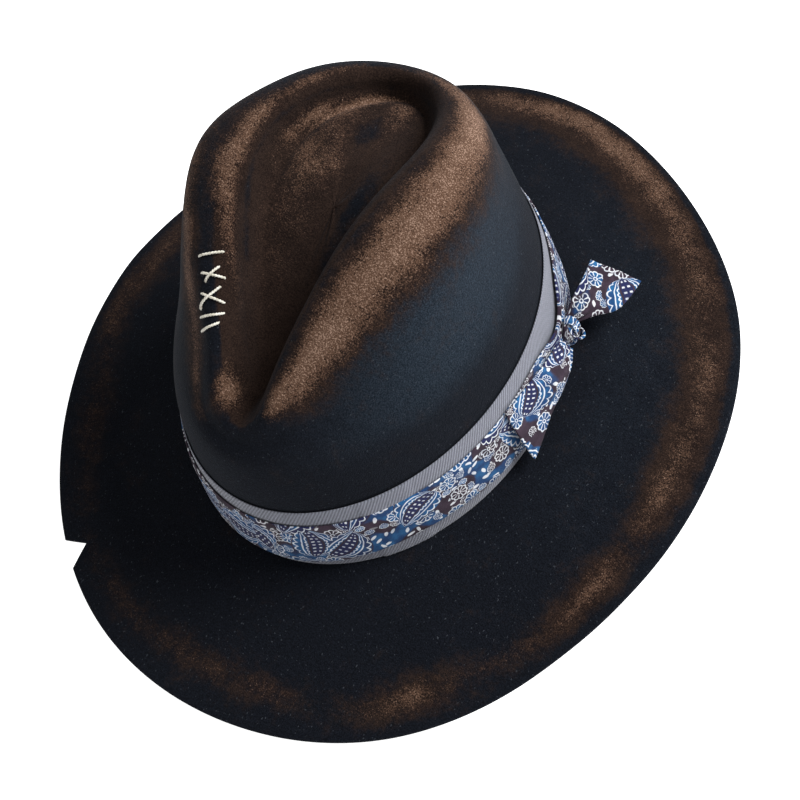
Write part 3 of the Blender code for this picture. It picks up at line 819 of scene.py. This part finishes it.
@dataclass(frozen=True)
class Rub:
    """A worn place: its middle and spread round the hat and up it, and how strong it is."""

    bearing: float
    bearing_spread: float
    level: float
    level_spread: float
    strength: float

    def at(self, bearing: np.ndarray, level: np.ndarray) -> np.ndarray:
        """The product of two humps."""
        return self.strength * hump(apart(bearing, self.bearing), self.bearing_spread) * hump(level - self.level, self.level_spread)


@dataclass(frozen=True)
class Stripe:
    """A stripe that goes round the hat, of wear or of painted shade: rows of bearing, level, spread and strength."""

    stations: tuple[tuple[float, float, float, float], ...]

    def at(self, bearing: np.ndarray, level: np.ndarray, widen: float = 1.0) -> np.ndarray:
        """A hump across the stripe, whose middle, spread and strength are read at each bearing."""
        bearings, levels, spreads, strengths = np.array(self.stations, dtype=float).T
        middle, spread, strength = (np.interp(bearing, bearings, row, period=360.0) for row in (levels, spreads, strengths))
        return strength * hump((level - middle) / spread, widen)


@dataclass
class FeltBody:
    """Crown and brim in one piece of felt."""

    columns: int = 300
    ring_steps: int = 8
    brim_steps: int = 32
    rim_steps: int = 6
    notch_from: float = 322.9
    notch_tip: float = 325.1
    notch_to: float = 328.4
    notch_depth: float = 0.0100
    notch_start: float = 0.80
    unevenness: float = 0.00035
    crest: Stripe = Stripe(
        (
            (0, 6.80, 0.50, 0.06), (22, 6.20, 0.45, 0.12), (33, 5.85, 0.50, 0.75), (45, 5.65, 0.55, 1.05),
            (55, 5.90, 0.55, 1.05), (70, 6.10, 0.55, 0.95), (85, 6.10, 0.60, 0.92), (100, 6.10, 0.60, 0.95),
            (120, 6.05, 0.70, 1.00), (135, 6.00, 0.75, 1.00), (150, 6.30, 0.70, 0.85), (165, 6.60, 0.60, 0.55),
            (180, 6.90, 0.50, 0.30), (195, 7.00, 0.50, 0.25), (215, 7.10, 0.50, 0.28), (235, 7.30, 0.45, 0.48),
            (250, 7.25, 0.60, 0.62), (270, 7.35, 0.62, 0.60), (290, 7.70, 0.60, 0.52), (300, 8.10, 0.60, 0.34),
            (312, 8.40, 0.55, 0.12), (325, 7.20, 0.50, 0.10), (331, 6.80, 0.70, 0.55), (338, 6.85, 0.95, 0.85),
            (344, 6.95, 0.75, 0.62), (352, 7.05, 0.45, 0.16),
        )
    )
    outer_fold: Stripe = Stripe(
        (
            (225, 5.90, 0.45, 0.00), (245, 5.90, 0.50, 0.35), (270, 5.85, 0.45, 0.52), (290, 5.70, 0.45, 0.60),
            (300, 5.40, 0.40, 0.65), (310, 5.15, 0.35, 0.60), (320, 4.95, 0.30, 0.55), (332, 4.75, 0.28, 0.42),
            (345, 4.60, 0.30, 0.00),
        )
    )
    # Painted shade along the dent's channel: the felt is kept black there instead of brown.
    channel: Stripe = Stripe(
        (
            (140, 9.60, 0.50, 0.00), (160, 8.90, 0.45, 0.60), (200, 8.70, 0.35, 0.55), (220, 8.30, 0.30, 0.60),
            (245, 8.20, 0.30, 0.75), (266, 8.45, 0.35, 0.85), (286, 8.95, 0.40, 0.80), (305, 9.20, 0.45, 0.45),
            (325, 9.10, 0.40, 0.00),
        )
    )
    ring: Stripe = Stripe(
        (
            (12, 0.77, 0.080, 0.20), (20, 0.81, 0.080, 0.04), (28, 0.84, 0.080, 0.24), (37, 0.80, 0.090, 0.36),
            (44, 0.80, 0.080, 0.12), (52, 0.84, 0.070, 0.14), (61, 0.86, 0.080, 0.36), (70, 0.83, 0.080, 0.44),
            (78, 0.82, 0.080, 0.22), (90, 0.81, 0.090, 0.50), (106, 0.82, 0.110, 0.44), (120, 0.81, 0.115, 0.40),
            (136, 0.84, 0.125, 0.48), (156, 0.86, 0.125, 0.66), (170, 0.89, 0.120, 0.72), (188, 0.87, 0.105, 0.48),
            (205, 0.86, 0.095, 0.42),
            (230, 0.86, 0.100, 0.34), (250, 0.85, 0.090, 0.22), (268, 0.84, 0.090, 0.30), (276, 0.88, 0.080, 0.26),
            (290, 0.82, 0.090, 0.16), (306, 0.80, 0.080, 0.20), (322, 0.86, 0.080, 0.06), (340, 0.82, 0.080, 0.14),
            (356, 0.74, 0.080, 0.22),
        )
    )
    dome_rubs: tuple[Rub, ...] = (
        Rub(206.0, 30.0, 10.1, 0.85, 0.95),
        Rub(236.0, 22.0, 9.30, 0.60, 0.55),
        Rub(178.0, 20.0, 11.0, 0.80, 0.62),
        Rub(245.0, 60.0, 11.4, 1.30, 0.44),
        Rub(300.0, 30.0, 11.2, 0.90, 0.16),
        Rub(262.0, 34.0, 9.90, 0.60, 0.26),
    )
    dye: tuple[Rub, ...] = (
        Rub(194.0, 26.0, 11.55, 0.50, 0.85),
        Rub(95.0, 62.0, 11.75, 0.70, 1.00),
        Rub(60.0, 45.0, 11.70, 0.60, 0.80),
    )

    def bearings(self) -> np.ndarray:
        """Even bearings, with more of them across the cut in the edge."""
        even = np.arange(0.0, 360.0, 360.0 / self.columns)
        shares = np.linspace(0.0, 1.0, 7)
        near = np.concatenate(
            [
                self.notch_from + (self.notch_tip - self.notch_from) * shares,
                self.notch_tip + (self.notch_to - self.notch_tip) * shares[1:],
                [self.notch_from - 0.12, self.notch_to + 0.12],
            ]
        )
        clear = (even < self.notch_from - 0.2) | (even > self.notch_to + 0.2)
        return np.sort(np.concatenate([even[clear], near]))

    def bite(self, bearing: np.ndarray) -> np.ndarray:
        """Depth of the cut: straight from one corner to the tip and back to the other corner."""
        stations = (self.notch_from, self.notch_tip, self.notch_to)
        return np.interp(bearing, stations, (0.0, self.notch_depth, 0.0), left=0.0, right=0.0)

    def outer(self) -> tuple[np.ndarray, list[np.ndarray]]:
        """Outer face from the top of the dome to the brim's edge.

        Returns:
            Places, and the rub, brown and painted highlight masks at each of them.
        """
        bearing = self.bearings()[None, :]
        rings = len(Ring) - 1
        rows = np.linspace(rings, 0.0, rings * self.ring_steps + 1)[:, None]
        shares = np.linspace(0.0, 1.0, self.brim_steps + 1)[1:, None]
        past = np.clip((shares - self.notch_start) / (1.0 - self.notch_start), 0.0, 1.0)
        pulled = shares - past * self.bite(bearing) / HAT.edge_reach(bearing)
        crown, brim = HAT.crown(bearing, rows), HAT.brim(bearing, pulled)
        places = np.concatenate([crown, brim])
        normals = self.normals(places)
        turn = np.radians(bearing)
        wavy = np.concatenate(
            [
                ripple(np.cos(turn) * 1.5 * rows / rings, np.sin(turn) * 1.5 * rows / rings, 3),
                ripple(np.cos(turn) * (1.5 + shares), np.sin(turn) * (1.5 + shares), 5),
            ]
        )
        places = places + normals * (wavy * self.unevenness)[..., None]
        masks = [np.concatenate(pair) for pair in zip(self.crown_masks(bearing, rows), self.brim_masks(bearing, shares))]
        return places, masks

    def crown_masks(self, bearing: np.ndarray, row: np.ndarray) -> tuple[np.ndarray, np.ndarray, np.ndarray]:
        """Rubbed and brown places of the crown, the brown held back by painted shade in the channel, and the painted
        highlight on the wall that faces the lights.

        Args:
            bearing: degrees from the front.
            row: level number in Ring.

        Returns:
            The three masks.
        """
        off_pole = 1.0 - rise(row, 11.9, 12.9)
        dark_patch_and_channel_shade = np.max([spot.at(bearing, row) for spot in self.dye], axis=0) * off_pole
        # Painted shade: the channel stripe keeps the felt black there instead of brown.
        dark_patch_and_channel_shade = np.maximum(dark_patch_and_channel_shade, self.channel.at(bearing, row))
        rub = np.max([spot.at(bearing, row) for spot in self.dome_rubs], axis=0) * off_pole
        rub = np.maximum(rub * (1.0 - dark_patch_and_channel_shade), np.maximum(self.crest.at(bearing, row), self.outer_fold.at(bearing, row)))
        front = hump(apart(bearing, 5.0), 34.0)
        inside = rise(row + 0.7 * front, 6.75, 7.35)
        halo = np.maximum(self.crest.at(bearing, row, 1.5), 1.4 * self.outer_fold.at(bearing, row, 1.5))
        brown = np.maximum(inside, np.minimum(halo, 1.0)) * (1.0 - 0.82 * dark_patch_and_channel_shade)
        # Painted highlight on the wall that faces the lights.
        painted_highlight = hump(apart(bearing, 86.0), 44.0) * rise(row, 2.5, 3.8) * (1.0 - rise(row, 5.4, 6.4))
        return rub, brown, painted_highlight

    def brim_masks(self, bearing: np.ndarray, share: np.ndarray) -> tuple[np.ndarray, np.ndarray, np.ndarray]:
        """Rubbed and brown places of the brim, and the painted highlight on its side towards the lights.

        Args:
            bearing: degrees from the front.
            share: 0 at the head oval, 1 at the edge.

        Returns:
            The three masks.
        """
        inside = 1.0 - rise(share, 0.93, 0.99)
        rub = self.ring.at(bearing, share) * inside
        brown = np.minimum(1.9 * self.ring.at(bearing, share, 1.6), 1.0) * inside
        # Painted highlight on the side of the brim that faces the lights.
        painted_highlight = 0.32 * hump(apart(bearing, 115.0), 60.0) * rise(share, 0.0, 0.3)
        return rub, brown, painted_highlight

    def normals(self, places: np.ndarray) -> np.ndarray:
        """Outward unit vectors, upright at the pole."""
        normals = face_normals(places, around=True)
        normals = normals * np.sign(normals[-1, 0, 2])
        normals[0] = (0.0, 0.0, 1.0)
        return normals

    def build(self) -> bpy.types.Object:
        """The closed shell: outer face, half round rim, then the inner face, each at the felt's thickness."""
        outer, worn = self.outer()
        normals = self.normals(outer)
        inner = (outer - normals * HAT.felt)[::-1][::2]
        out = unit(outer[-1] - outer[-2])
        angle = np.linspace(0.0, math.pi, self.rim_steps + 2)[1:-1, None, None]
        core = outer[-1] - normals[-1] * HAT.felt / 2
        rim = core + HAT.felt / 2 * (np.cos(angle) * normals[-1] + 0.7 * np.sin(angle) * out)
        places = np.concatenate([outer, rim, inner])
        places[..., 2] = np.maximum(places[..., 2], 0.0)
        masks = {
            name: np.concatenate([mask, np.repeat(mask[-1:], self.rim_steps, axis=0), 0.0 * mask[::-1][::2]])
            for name, mask in zip(("rub", "brown", "painted_highlight"), worn)
        }
        return skin("felt_shell", places, around=True, masks=masks, weld=True)

    def dress(self, felt: bpy.types.Object, finish: bpy.types.Material) -> None:
        """Give the felt its finish and its place in the frame."""
        felt.data.materials.append(finish)
        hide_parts("felt_body")
        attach(felt, "root")


def wrap_section(half_height: float, half_deep: float, count: int, edge: float) -> np.ndarray:
    """A flat ribbon's section: a rounded oblong, from a power of the sine and cosine.

    Args:
        half_height: half of its height.
        half_deep: half of its thickness.
        count: points round it.
        edge: power of the round, smaller is squarer.

    Returns:
        Distance out and height for each point.
    """
    angle = np.linspace(0.0, 2.0 * math.pi, count, endpoint=False)
    out = np.sign(np.cos(angle)) * np.abs(np.cos(angle)) ** edge * half_deep
    high = np.sign(np.sin(angle)) * np.abs(np.sin(angle)) ** edge * half_height
    return np.stack([out, high], axis=-1)


@dataclass
class GrosgrainBand:
    """The grey band round the crown, with a lap where its ends meet."""

    columns: int = 540
    section: int = 40
    lap_bearing: float = 36.0
    lap_rise: float = 0.0005

    def build(self) -> bpy.types.Object:
        """A rounded oblong section carried round the crown."""
        bearing = np.linspace(0.0, 360.0, self.columns, endpoint=False)[:, None]
        section = wrap_section(HAT.band_height / 2 - HAT.gap, HAT.band / 2, self.section, 0.35)
        lap = self.lap_rise * np.clip(apart(bearing, self.lap_bearing) / 0.5, 0.0, 1.0)
        lap = lap * np.clip(1.0 - (apart(bearing, self.lap_bearing) - 14.0) / 2.0, 0.0, 1.0)
        height = HAT.band_height / 2 + section[None, :, 1]
        away = HAT.gap + HAT.band / 2 + section[None, :, 0] + lap * (section[None, :, 0] > 0)
        places = HAT.beside(bearing, height, away)
        round_hat = np.concatenate([places, places[:1]])
        walked = lengths(round_hat[:, :1], 0)
        along = np.broadcast_to(walked[..., 0] if walked.ndim == 3 else walked, (self.columns + 1, self.section + 1))
        high = np.append(height[0], height[0, 0])[None, :]
        uv = np.stack([along, np.broadcast_to(high, along.shape)], axis=-1)
        return skin("grosgrain_wrap", places, around=True, looped=True, uv=uv)

    def dress(self, band: bpy.types.Object, finish: bpy.types.Material) -> None:
        """Give the band its finish and its place in the frame."""
        band.data.materials.append(finish)
        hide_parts("grosgrain_band")
        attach(band, "root")


@dataclass
class ScarfRibbon:
    """The folded scarf round the band, gathered towards the knot."""

    columns: int = 540
    section: int = 48
    rise: float = 0.0045
    height: float = 0.0290
    thickness: float = 0.0008
    stand_off: float = 0.0010
    stand_off_spread: float = 16.0
    gather_spread: float = 9.0
    crease: float = 0.0003
    hitch: float = 0.0052
    hitch_bearing: float = 52.0
    hitch_spread: float = 28.0

    def lift(self, bearing: np.ndarray) -> np.ndarray:
        """How far the inner face stands from the felt."""
        near = hump(apart(bearing, HAT.knot_bearing), self.stand_off_spread)
        return 2 * HAT.gap + HAT.band + self.stand_off * near

    def build(self) -> bpy.types.Object:
        """A rounded oblong section with long creases, carried round the crown."""
        bearing = np.linspace(0.0, 360.0, self.columns, endpoint=False)[:, None]
        section = wrap_section(0.5, 0.5, self.section, 0.4)
        gather = hump(apart(bearing, HAT.knot_bearing), self.gather_spread)
        hitch = self.hitch * hump(apart(bearing, self.hitch_bearing), self.hitch_spread)
        tall = self.height * (1.0 - 0.60 * gather) - hitch
        middle = self.rise + self.height / 2 + hitch / 2 + 0.0006 * ripple(bearing / 120.0, 0.0 * bearing, 17)
        height = middle + tall * section[None, :, 1]
        deep = self.thickness * (1.0 + 1.6 * gather)
        share = section[None, :, 1]
        folds = ripple(bearing / 26.0, share * 1.6, 11) * self.crease
        folds = folds + gather * 0.0006 * np.cos(2.0 * math.pi * share * 4.0)
        outer = (section[None, :, 0] > 0) * (1.0 - np.abs(2.0 * share) ** 6)
        away = self.lift(bearing) + deep * (0.5 + section[None, :, 0]) + outer * (folds + self.crease)
        places = HAT.beside(bearing, height, away)
        walked = lengths(np.concatenate([places, places[:1]])[:, :1], 0)
        along = np.broadcast_to(walked.reshape(-1, 1), (self.columns + 1, self.section + 1))
        flat = self.height * np.append(section[:, 1], section[0, 1])[None, :]
        uv = np.stack([along, np.broadcast_to(flat, along.shape)], axis=-1)
        return skin("scarf_wrap", places, around=True, looped=True, uv=uv)

    def dress(self, ribbon: bpy.types.Object, finish: bpy.types.Material) -> None:
        """Give the ribbon its finish and its place in the frame."""
        ribbon.data.materials.append(finish)
        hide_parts("paisley_ribbon")
        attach(ribbon, "root")


@dataclass
class ScarfKnot:
    """The knot: a creased bulge with one turn of cloth slanting over it."""

    length: float = 0.0125
    tall: float = 0.0130
    deep: float = 0.0085
    sunk: float = 0.0012
    loop_radius: float = 0.0027
    loop_width: float = 0.0022
    ribbon: ScarfRibbon = field(default_factory=ScarfRibbon)

    def frame_axes(self) -> tuple[np.ndarray, np.ndarray, np.ndarray, np.ndarray]:
        """Middle of the knot, and unit vectors out of the band, along it and up."""
        bearing = np.array(HAT.knot_bearing)
        away = self.ribbon.lift(bearing) + self.ribbon.thickness + 2 * HAT.gap + self.deep / 2 - self.sunk
        centre = HAT.beside(bearing, np.array(self.ribbon.rise + self.ribbon.height / 2), away)
        out = HAT.outward(bearing)
        up = np.array((0.0, 0.0, 1.0))
        return centre, out, unit(np.cross(up, out)), up

    def bulge(self) -> bpy.types.Object:
        """An ellipsoid whose radius rises and falls in slanting creases."""
        centre, out, along, up = self.frame_axes()
        polar = np.linspace(0.0, math.pi, 41)[:, None]
        around = np.linspace(0.0, 2.0 * math.pi, 64, endpoint=False)[None, :]
        crease = 1.0 + 0.07 * np.sin(3.0 * around + 5.0 * polar) * np.sin(polar)
        crease = crease + 0.05 * np.sin(7.0 * around - 3.0 * polar) * np.sin(polar)
        radial = np.sin(polar) * crease
        places = (
            centre
            + (self.deep / 2 * 0.86 * radial * np.cos(around))[..., None] * out
            + (self.tall / 2 * 0.80 * radial * np.sin(around))[..., None] * up
            + (self.length / 2 * 0.96 * np.cos(polar) + 0.0 * around)[..., None] * along
        )
        uv = np.stack(np.broadcast_arrays(polar * 0.005, np.append(around, 2.0 * math.pi)[None, :] * 0.006), axis=-1)
        return skin("knot_bulge", places, around=True, uv=uv, weld=True)

    def turn(self) -> bpy.types.Object:
        """A band of cloth with long pleats, carried over the bulge on a slanting arc."""
        centre, out, along, up = self.frame_axes()
        sweep = np.linspace(-1.95, 1.95, 61)[:, None]
        slant = unit(up + 0.45 * along)
        beside = unit(along - 0.45 * up)
        angle = np.linspace(0.0, 2.0 * math.pi, 40, endpoint=False)[None, :]
        width = 0.0031 * (1.0 + 0.18 * np.cos(sweep * 1.2))
        pleat = 0.00026 * np.cos(angle * 6.0 + sweep * 0.8)
        across = width * np.sign(np.cos(angle)) * np.abs(np.cos(angle)) ** 0.7
        thick = (0.0009 + pleat) * np.sin(angle)
        radius_out, radius_up = self.deep / 2 * 0.92, self.tall / 2 * 0.86
        path = np.cos(sweep)[..., None] * out * radius_out + np.sin(sweep)[..., None] * slant * radius_up
        normal = unit(np.cos(sweep)[..., None] * out / radius_out + np.sin(sweep)[..., None] * slant / radius_up)
        places = centre + path + across[..., None] * beside + thick[..., None] * normal
        uv = np.stack(
            np.broadcast_arrays(np.linspace(0.0, 0.026, 61)[:, None], np.append(angle, 2.0 * math.pi)[None, :] * 0.0022), axis=-1
        )
        closed = np.concatenate([np.repeat(places[:1].mean(axis=1, keepdims=True), 40, axis=1), places,
                                 np.repeat(places[-1:].mean(axis=1, keepdims=True), 40, axis=1)])
        uv = np.concatenate([uv[:1], uv, uv[-1:]])
        return skin("knot_turn", closed, around=True, uv=uv, weld=True)

    def loop(self) -> bpy.types.Object:
        """The rolled end of the cloth: an oval ring of cloth whose width waves a little."""
        centre, out, along, up = self.frame_axes()
        axis = unit(0.62 * out + 0.60 * up - 0.25 * along)
        first = unit(np.cross(axis, along))
        second = np.cross(axis, first)
        middle = centre + 0.0040 * out + 0.0005 * up - 0.0012 * along
        sweep = np.linspace(0.0, 2.0 * math.pi, 56, endpoint=False)[:, None]
        angle = np.linspace(0.0, 2.0 * math.pi, 24, endpoint=False)[None, :]
        radius = self.loop_radius * (1.0 + 0.08 * np.sin(2.0 * sweep + 0.7)) + 0.00055 * np.cos(angle)
        width = self.loop_width * (0.5 + 0.08 * np.sin(3.0 * sweep)) * np.sin(angle)
        places = (
            middle
            + (1.20 * radius * np.cos(sweep))[..., None] * first
            + (0.95 * radius * np.sin(sweep))[..., None] * second
            + width[..., None] * axis
        )
        turned = np.append(sweep, 2.0 * math.pi)[:, None] * self.loop_radius
        uv = np.stack(np.broadcast_arrays(turned, np.append(angle, 2.0 * math.pi)[None, :] * 0.0007), axis=-1)
        return skin("knot_loop", places, around=True, looped=True, uv=uv)

    def dress(self, pieces: list[bpy.types.Object], finish: bpy.types.Material) -> None:
        """Give the knot its finish and its place in the frame."""
        for piece in pieces:
            piece.data.materials.append(finish)
            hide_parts("ribbon_knot")
            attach(piece, "root")


@dataclass(frozen=True)
class Station:
    """One crossing of a loose end: bearing past the knot, height and stand-off, for both edges."""

    top_bearing: float
    top_height: float
    top_off: float
    low_bearing: float
    low_height: float
    low_off: float

    def row(self) -> tuple[float, ...]:
        """The values in order."""
        return (self.top_bearing, self.top_height, self.top_off, self.low_bearing, self.low_height, self.low_off)


@dataclass
class ScarfTail:
    """A loose end of the scarf, pleated at the knot and flat at its slanted cut."""

    name: str
    node: str
    side: int
    stations: tuple[Station, ...]
    seed: int
    ribbon: ScarfRibbon = field(default_factory=ScarfRibbon)
    thickness: float = 0.0007
    start: float = 3.6
    steps: int = 64
    across: int = 28
    pleat: float = 0.0012
    sway: float = 0.0011

    def surface(self) -> np.ndarray:
        """The cloth's middle: between the curves of its two edges, with pleats that fade from the knot."""
        rows = np.array([station.row() for station in self.stations])
        place = np.linspace(0.0, len(self.stations) - 1, self.steps)
        top_bearing, top_height, top_off, low_bearing, low_height, low_off = between(rows, place, closed=False).T
        edges = []
        for past, height, off in ((top_bearing, top_height, top_off), (low_bearing, low_height, low_off)):
            bearing = HAT.knot_bearing + self.side * self.start + past
            away = self.ribbon.lift(bearing) + self.ribbon.thickness + 2 * HAT.gap + self.ribbon.height * off
            edges.append(HAT.beside(bearing, height * HAT.band_height, away))
        share = np.linspace(0.0, 1.0, self.across)[None, :, None]
        places = edges[0][:, None] * (1.0 - share) + edges[1][:, None] * share
        normal = face_normals(places, around=False)
        normal = normal * np.sign((normal * HAT.outward(np.array(HAT.knot_bearing))).sum(axis=-1, keepdims=True))
        far = np.linspace(0.0, 1.0, self.steps)[:, None]
        wide = share[..., 0]
        pleats = self.pleat * np.exp(-4.0 * far) * np.cos(2.0 * math.pi * (wide * 3.0 + 0.1))
        sway = self.sway * ripple(far * 1.1, wide * 0.8, self.seed) * np.sin(math.pi * wide) * np.minimum(far * 3.0, 1.0)
        bow = 0.0022 * np.sin(math.pi * wide) * np.sin(math.pi * np.minimum(far * 1.3, 1.0))
        return places + normal * (np.maximum(pleats + sway, -0.0006) + bow)[..., None]

    def build(self) -> tuple[bpy.types.Object, tuple[float, float], float]:
        """The loose end as a thin closed sheet.

        Returns:
            The piece, its flat width and length, and its flat area.
        """
        places = self.surface()
        along, across = lengths(places, 0), lengths(places, 1)
        uv = np.stack([along.mean(axis=1, keepdims=True) + 0.0 * along, across], axis=-1)
        uv = uv + np.array((self.seed * 0.0137, self.seed * 0.0071))
        piece = skin(self.name, places, uv=uv)
        solid = piece.modifiers.new("Thickness", "SOLIDIFY")
        solid.thickness = self.thickness
        solid.offset = 0.0
        sides = [np.diff(places, axis=0)[:, :-1], np.diff(places, axis=1)[:-1]]
        area = float(np.linalg.norm(np.cross(*sides), axis=-1).sum())
        flat = (float(across[:, -1].max()), float(along[-1].max()))
        return piece, flat, area

    def dress(self, piece: bpy.types.Object, flat: tuple[float, float], area: float, finish: bpy.types.Material) -> None:
        """Give the loose end its finish and its place in the frame."""
        piece.data.materials.append(finish)
        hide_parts(self.node)
        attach(piece, "root")


@dataclass(frozen=True)
class Stitch:
    """A thread over the ridge: bearing and crown level at both ends, and its layer where two cross."""

    from_bearing: float
    from_row: float
    to_bearing: float
    to_row: float
    layer: int


@dataclass
class HandStitches:
    """Thick cream thread sewn over the wearer's right ridge."""

    radius: float = 0.00050
    arch: float = 0.0009
    steps: int = 48
    stitches: tuple[Stitch, ...] = (
        Stitch(294.5, 6.30, 294.0, 7.50, 0),
        Stitch(298.5, 6.30, 301.5, 7.55, 0),
        Stitch(301.0, 6.45, 298.0, 7.25, 1),
        Stitch(303.0, 6.05, 308.5, 7.40, 0),
        Stitch(306.5, 5.80, 303.5, 7.25, 1),
        Stitch(308.0, 5.60, 311.5, 7.35, 0),
        Stitch(311.5, 5.50, 313.0, 6.90, 0),
    )

    def build(self, number: int, stitch: Stitch) -> bpy.types.Object:
        """A plied thread that leaves the felt, arches over the ridge and goes back in."""
        part = np.linspace(0.0, 1.0, self.steps)
        bearing = stitch.from_bearing + (stitch.to_bearing - stitch.from_bearing) * part
        row = stitch.from_row + (stitch.to_row - stitch.from_row) * part
        normal = HAT.crown_normal(bearing, row)
        lift = (self.arch + self.radius + stitch.layer * 2.2 * self.radius) * np.sin(math.pi * part) ** 0.6 - 0.0004
        path = HAT.crown(bearing, row) + normal * lift[:, None]
        walked = lengths(path[:, None], 0)[:, 0]
        radius = self.radius * np.ones(self.steps)
        places = plied_tube(path, normal, radius, walked[-1] / 0.0028)
        along = np.concatenate([[walked[0]], walked, [walked[-1]]])[:, None]
        uv = np.stack(np.broadcast_arrays(along, np.linspace(0.0, 1.0, places.shape[1] + 1)[None, :]), axis=-1)
        return skin(f"thread_{number}", places, around=True, uv=uv, weld=True)

    def dress(self, thread: bpy.types.Object, number: int, finish: bpy.types.Material) -> None:
        """Give a stitch its finish and its place in the frame."""
        thread.data.materials.append(finish)
        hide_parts(f"stitch_{number}")
        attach(thread, "root")


# Studio


@dataclass(frozen=True)
class Studio:
    """Pale floor, soft light and the camera."""

    azimuth: float = 51.4
    elevation: float = 59.2
    roll: float = -25.0
    distance: float = 0.620
    target: tuple[float, float, float] = (0.0314, -0.0241, 0.0440)
    lens_pixels: float = 1430.0
    frame_pixels: float = 800.0
    sensor: float = 36.0
    world: float = 0.30
    key_power: float = 45.0
    fill_power: float = 5.0

    def floor(self) -> bpy.types.Object:
        """A large plane under the hat."""
        reach = 25.0
        corner = np.array([-reach, reach])
        places = np.stack([*np.meshgrid(corner, corner), np.zeros((2, 2))], axis=-1)
        plane = skin("floor", places)
        material, wire, shader = new_material("pale_floor")
        shader.inputs["Base Color"].default_value = (0.92, 0.92, 0.92, 1.0)
        shader.inputs["Roughness"].default_value = 0.9
        shader.inputs["Emission Color"].default_value = (1.0, 1.0, 1.0, 1.0)
        shader.inputs["Emission Strength"].default_value = 0.9
        plane.data.materials.append(material)
        return plane

    def light(self, name: str, place: tuple[float, float, float], size: float, power: float) -> None:
        """A square soft light that faces the hat."""
        data = bpy.data.lights.new(name, "AREA")
        data.size = size
        data.energy = power
        lamp = bpy.data.objects.new(name, data)
        lamp.location = place
        lamp.rotation_euler = (Vector((0.0, 0.0, 0.06)) - Vector(place)).to_track_quat("-Z", "Y").to_euler()
        bpy.context.scene.collection.objects.link(lamp)

    def camera(self) -> None:
        """The camera, from its angles round the target and its roll."""
        azimuth, elevation, roll = (math.radians(a) for a in (self.azimuth, self.elevation, self.roll))
        back = Vector(
            (math.sin(azimuth) * math.cos(elevation), -math.cos(azimuth) * math.cos(elevation), math.sin(elevation))
        )
        level = (-back).cross(Vector((0.0, 0.0, 1.0))).normalized()
        upright = level.cross(-back)
        right = math.cos(roll) * level + math.sin(roll) * upright
        up = -math.sin(roll) * level + math.cos(roll) * upright
        data = bpy.data.cameras.new("photo_view")
        data.sensor_width = self.sensor
        data.lens = self.lens_pixels / self.frame_pixels * self.sensor
        data.clip_start = 0.01
        item = bpy.data.objects.new("photo_view", data)
        place = Vector(self.target) + Vector(HAT.middle()) + back * self.distance
        turn = Matrix((right, up, back)).transposed().to_4x4()
        item.matrix_world = Matrix.Translation(place) @ turn
        bpy.context.scene.collection.objects.link(item)
        bpy.context.scene.camera = item

    def set_up(self) -> None:
        """Build the floor, the lights, the world and the camera."""
        self.floor()
        self.light("key", (0.95, 0.90, 1.25), 0.9, self.key_power)
        self.light("fill", (0.9, -0.9, 1.3), 1.2, self.fill_power)
        world = bpy.data.worlds.new("soft_white")
        world.use_nodes = True
        world.node_tree.nodes["Background"].inputs["Color"].default_value = (1.0, 1.0, 1.0, 1.0)
        world.node_tree.nodes["Background"].inputs["Strength"].default_value = self.world
        bpy.context.scene.world = world
        bpy.context.scene.view_settings.view_transform = "Standard"
        self.camera()


LOWER_TAIL = ScarfTail(
    name="tail_lower",
    node="ribbon_tail_lower",
    side=-1,
    seed=3,
    stations=(
        Station(0.0, 0.50, 0.04, 0.0, 0.34, 0.12),
        Station(-4.0, 0.61, 0.05, -4.0, 0.31, 0.17),
        Station(-11.0, 0.68, 0.02, -10.5, 0.30, 0.18),
        Station(-18.5, 0.75, 0.0, -17.5, 0.26, 0.16),
        Station(-26.5, 0.80, 0.0, -28.0, 0.20, 0.27),
    ),
)
UPPER_TAIL = ScarfTail(
    name="tail_upper",
    node="ribbon_tail_upper",
    side=1,
    seed=8,
    stations=(
        Station(0.0, 0.50, 0.06, 0.0, 0.38, 0.14),
        Station(4.0, 0.58, 0.18, 2.4, 0.34, 0.42),
        Station(8.6, 0.60, 0.34, 4.6, 0.29, 0.76),
        Station(14.0, 0.58, 0.50, 10.8, 0.29, 1.14),
    ),
)


def main() -> None:
    """Build every piece, dress it, and set up the studio."""
    logging.basicConfig(level=logging.INFO, format="%(message)s")
    weave, printed = weave_group(), print_group()
    felt_finish = FeltFinish().make()
    band_finish = GrosgrainFinish().make(weave)
    scarf_finish = ScarfFinish().make(weave, printed)
    thread_finish = ThreadFinish().make()

    felt = FeltBody()
    shell = felt.build()
    felt.dress(shell, felt_finish)
    log.info("%s: %d faces", shell.name, len(shell.data.polygons))

    band = GrosgrainBand()
    wrap = band.build()
    band.dress(wrap, band_finish)
    log.info("%s: %d faces", wrap.name, len(wrap.data.polygons))

    ribbon = ScarfRibbon()
    scarf = ribbon.build()
    ribbon.dress(scarf, scarf_finish)
    log.info("%s: %d faces", scarf.name, len(scarf.data.polygons))

    knot = ScarfKnot()
    knot.dress([knot.bulge(), knot.turn(), knot.loop()], scarf_finish)
    log.info("knot: three pieces")

    for tail in (LOWER_TAIL, UPPER_TAIL):
        piece, flat, area = tail.build()
        tail.dress(piece, flat, area, scarf_finish)
        log.info("%s: %.1f by %.1f mm flat, %.0f square mm", piece.name, flat[0] * 1e3, flat[1] * 1e3, area * 1e6)

    sewing = HandStitches()
    for number, stitch in enumerate(sewing.stitches, start=1):
        sewing.dress(sewing.build(number, stitch), number, thread_finish)
    log.info("stitches: %d", len(sewing.stitches))

    Studio().set_up()


if __name__ == "__main__":
    main()
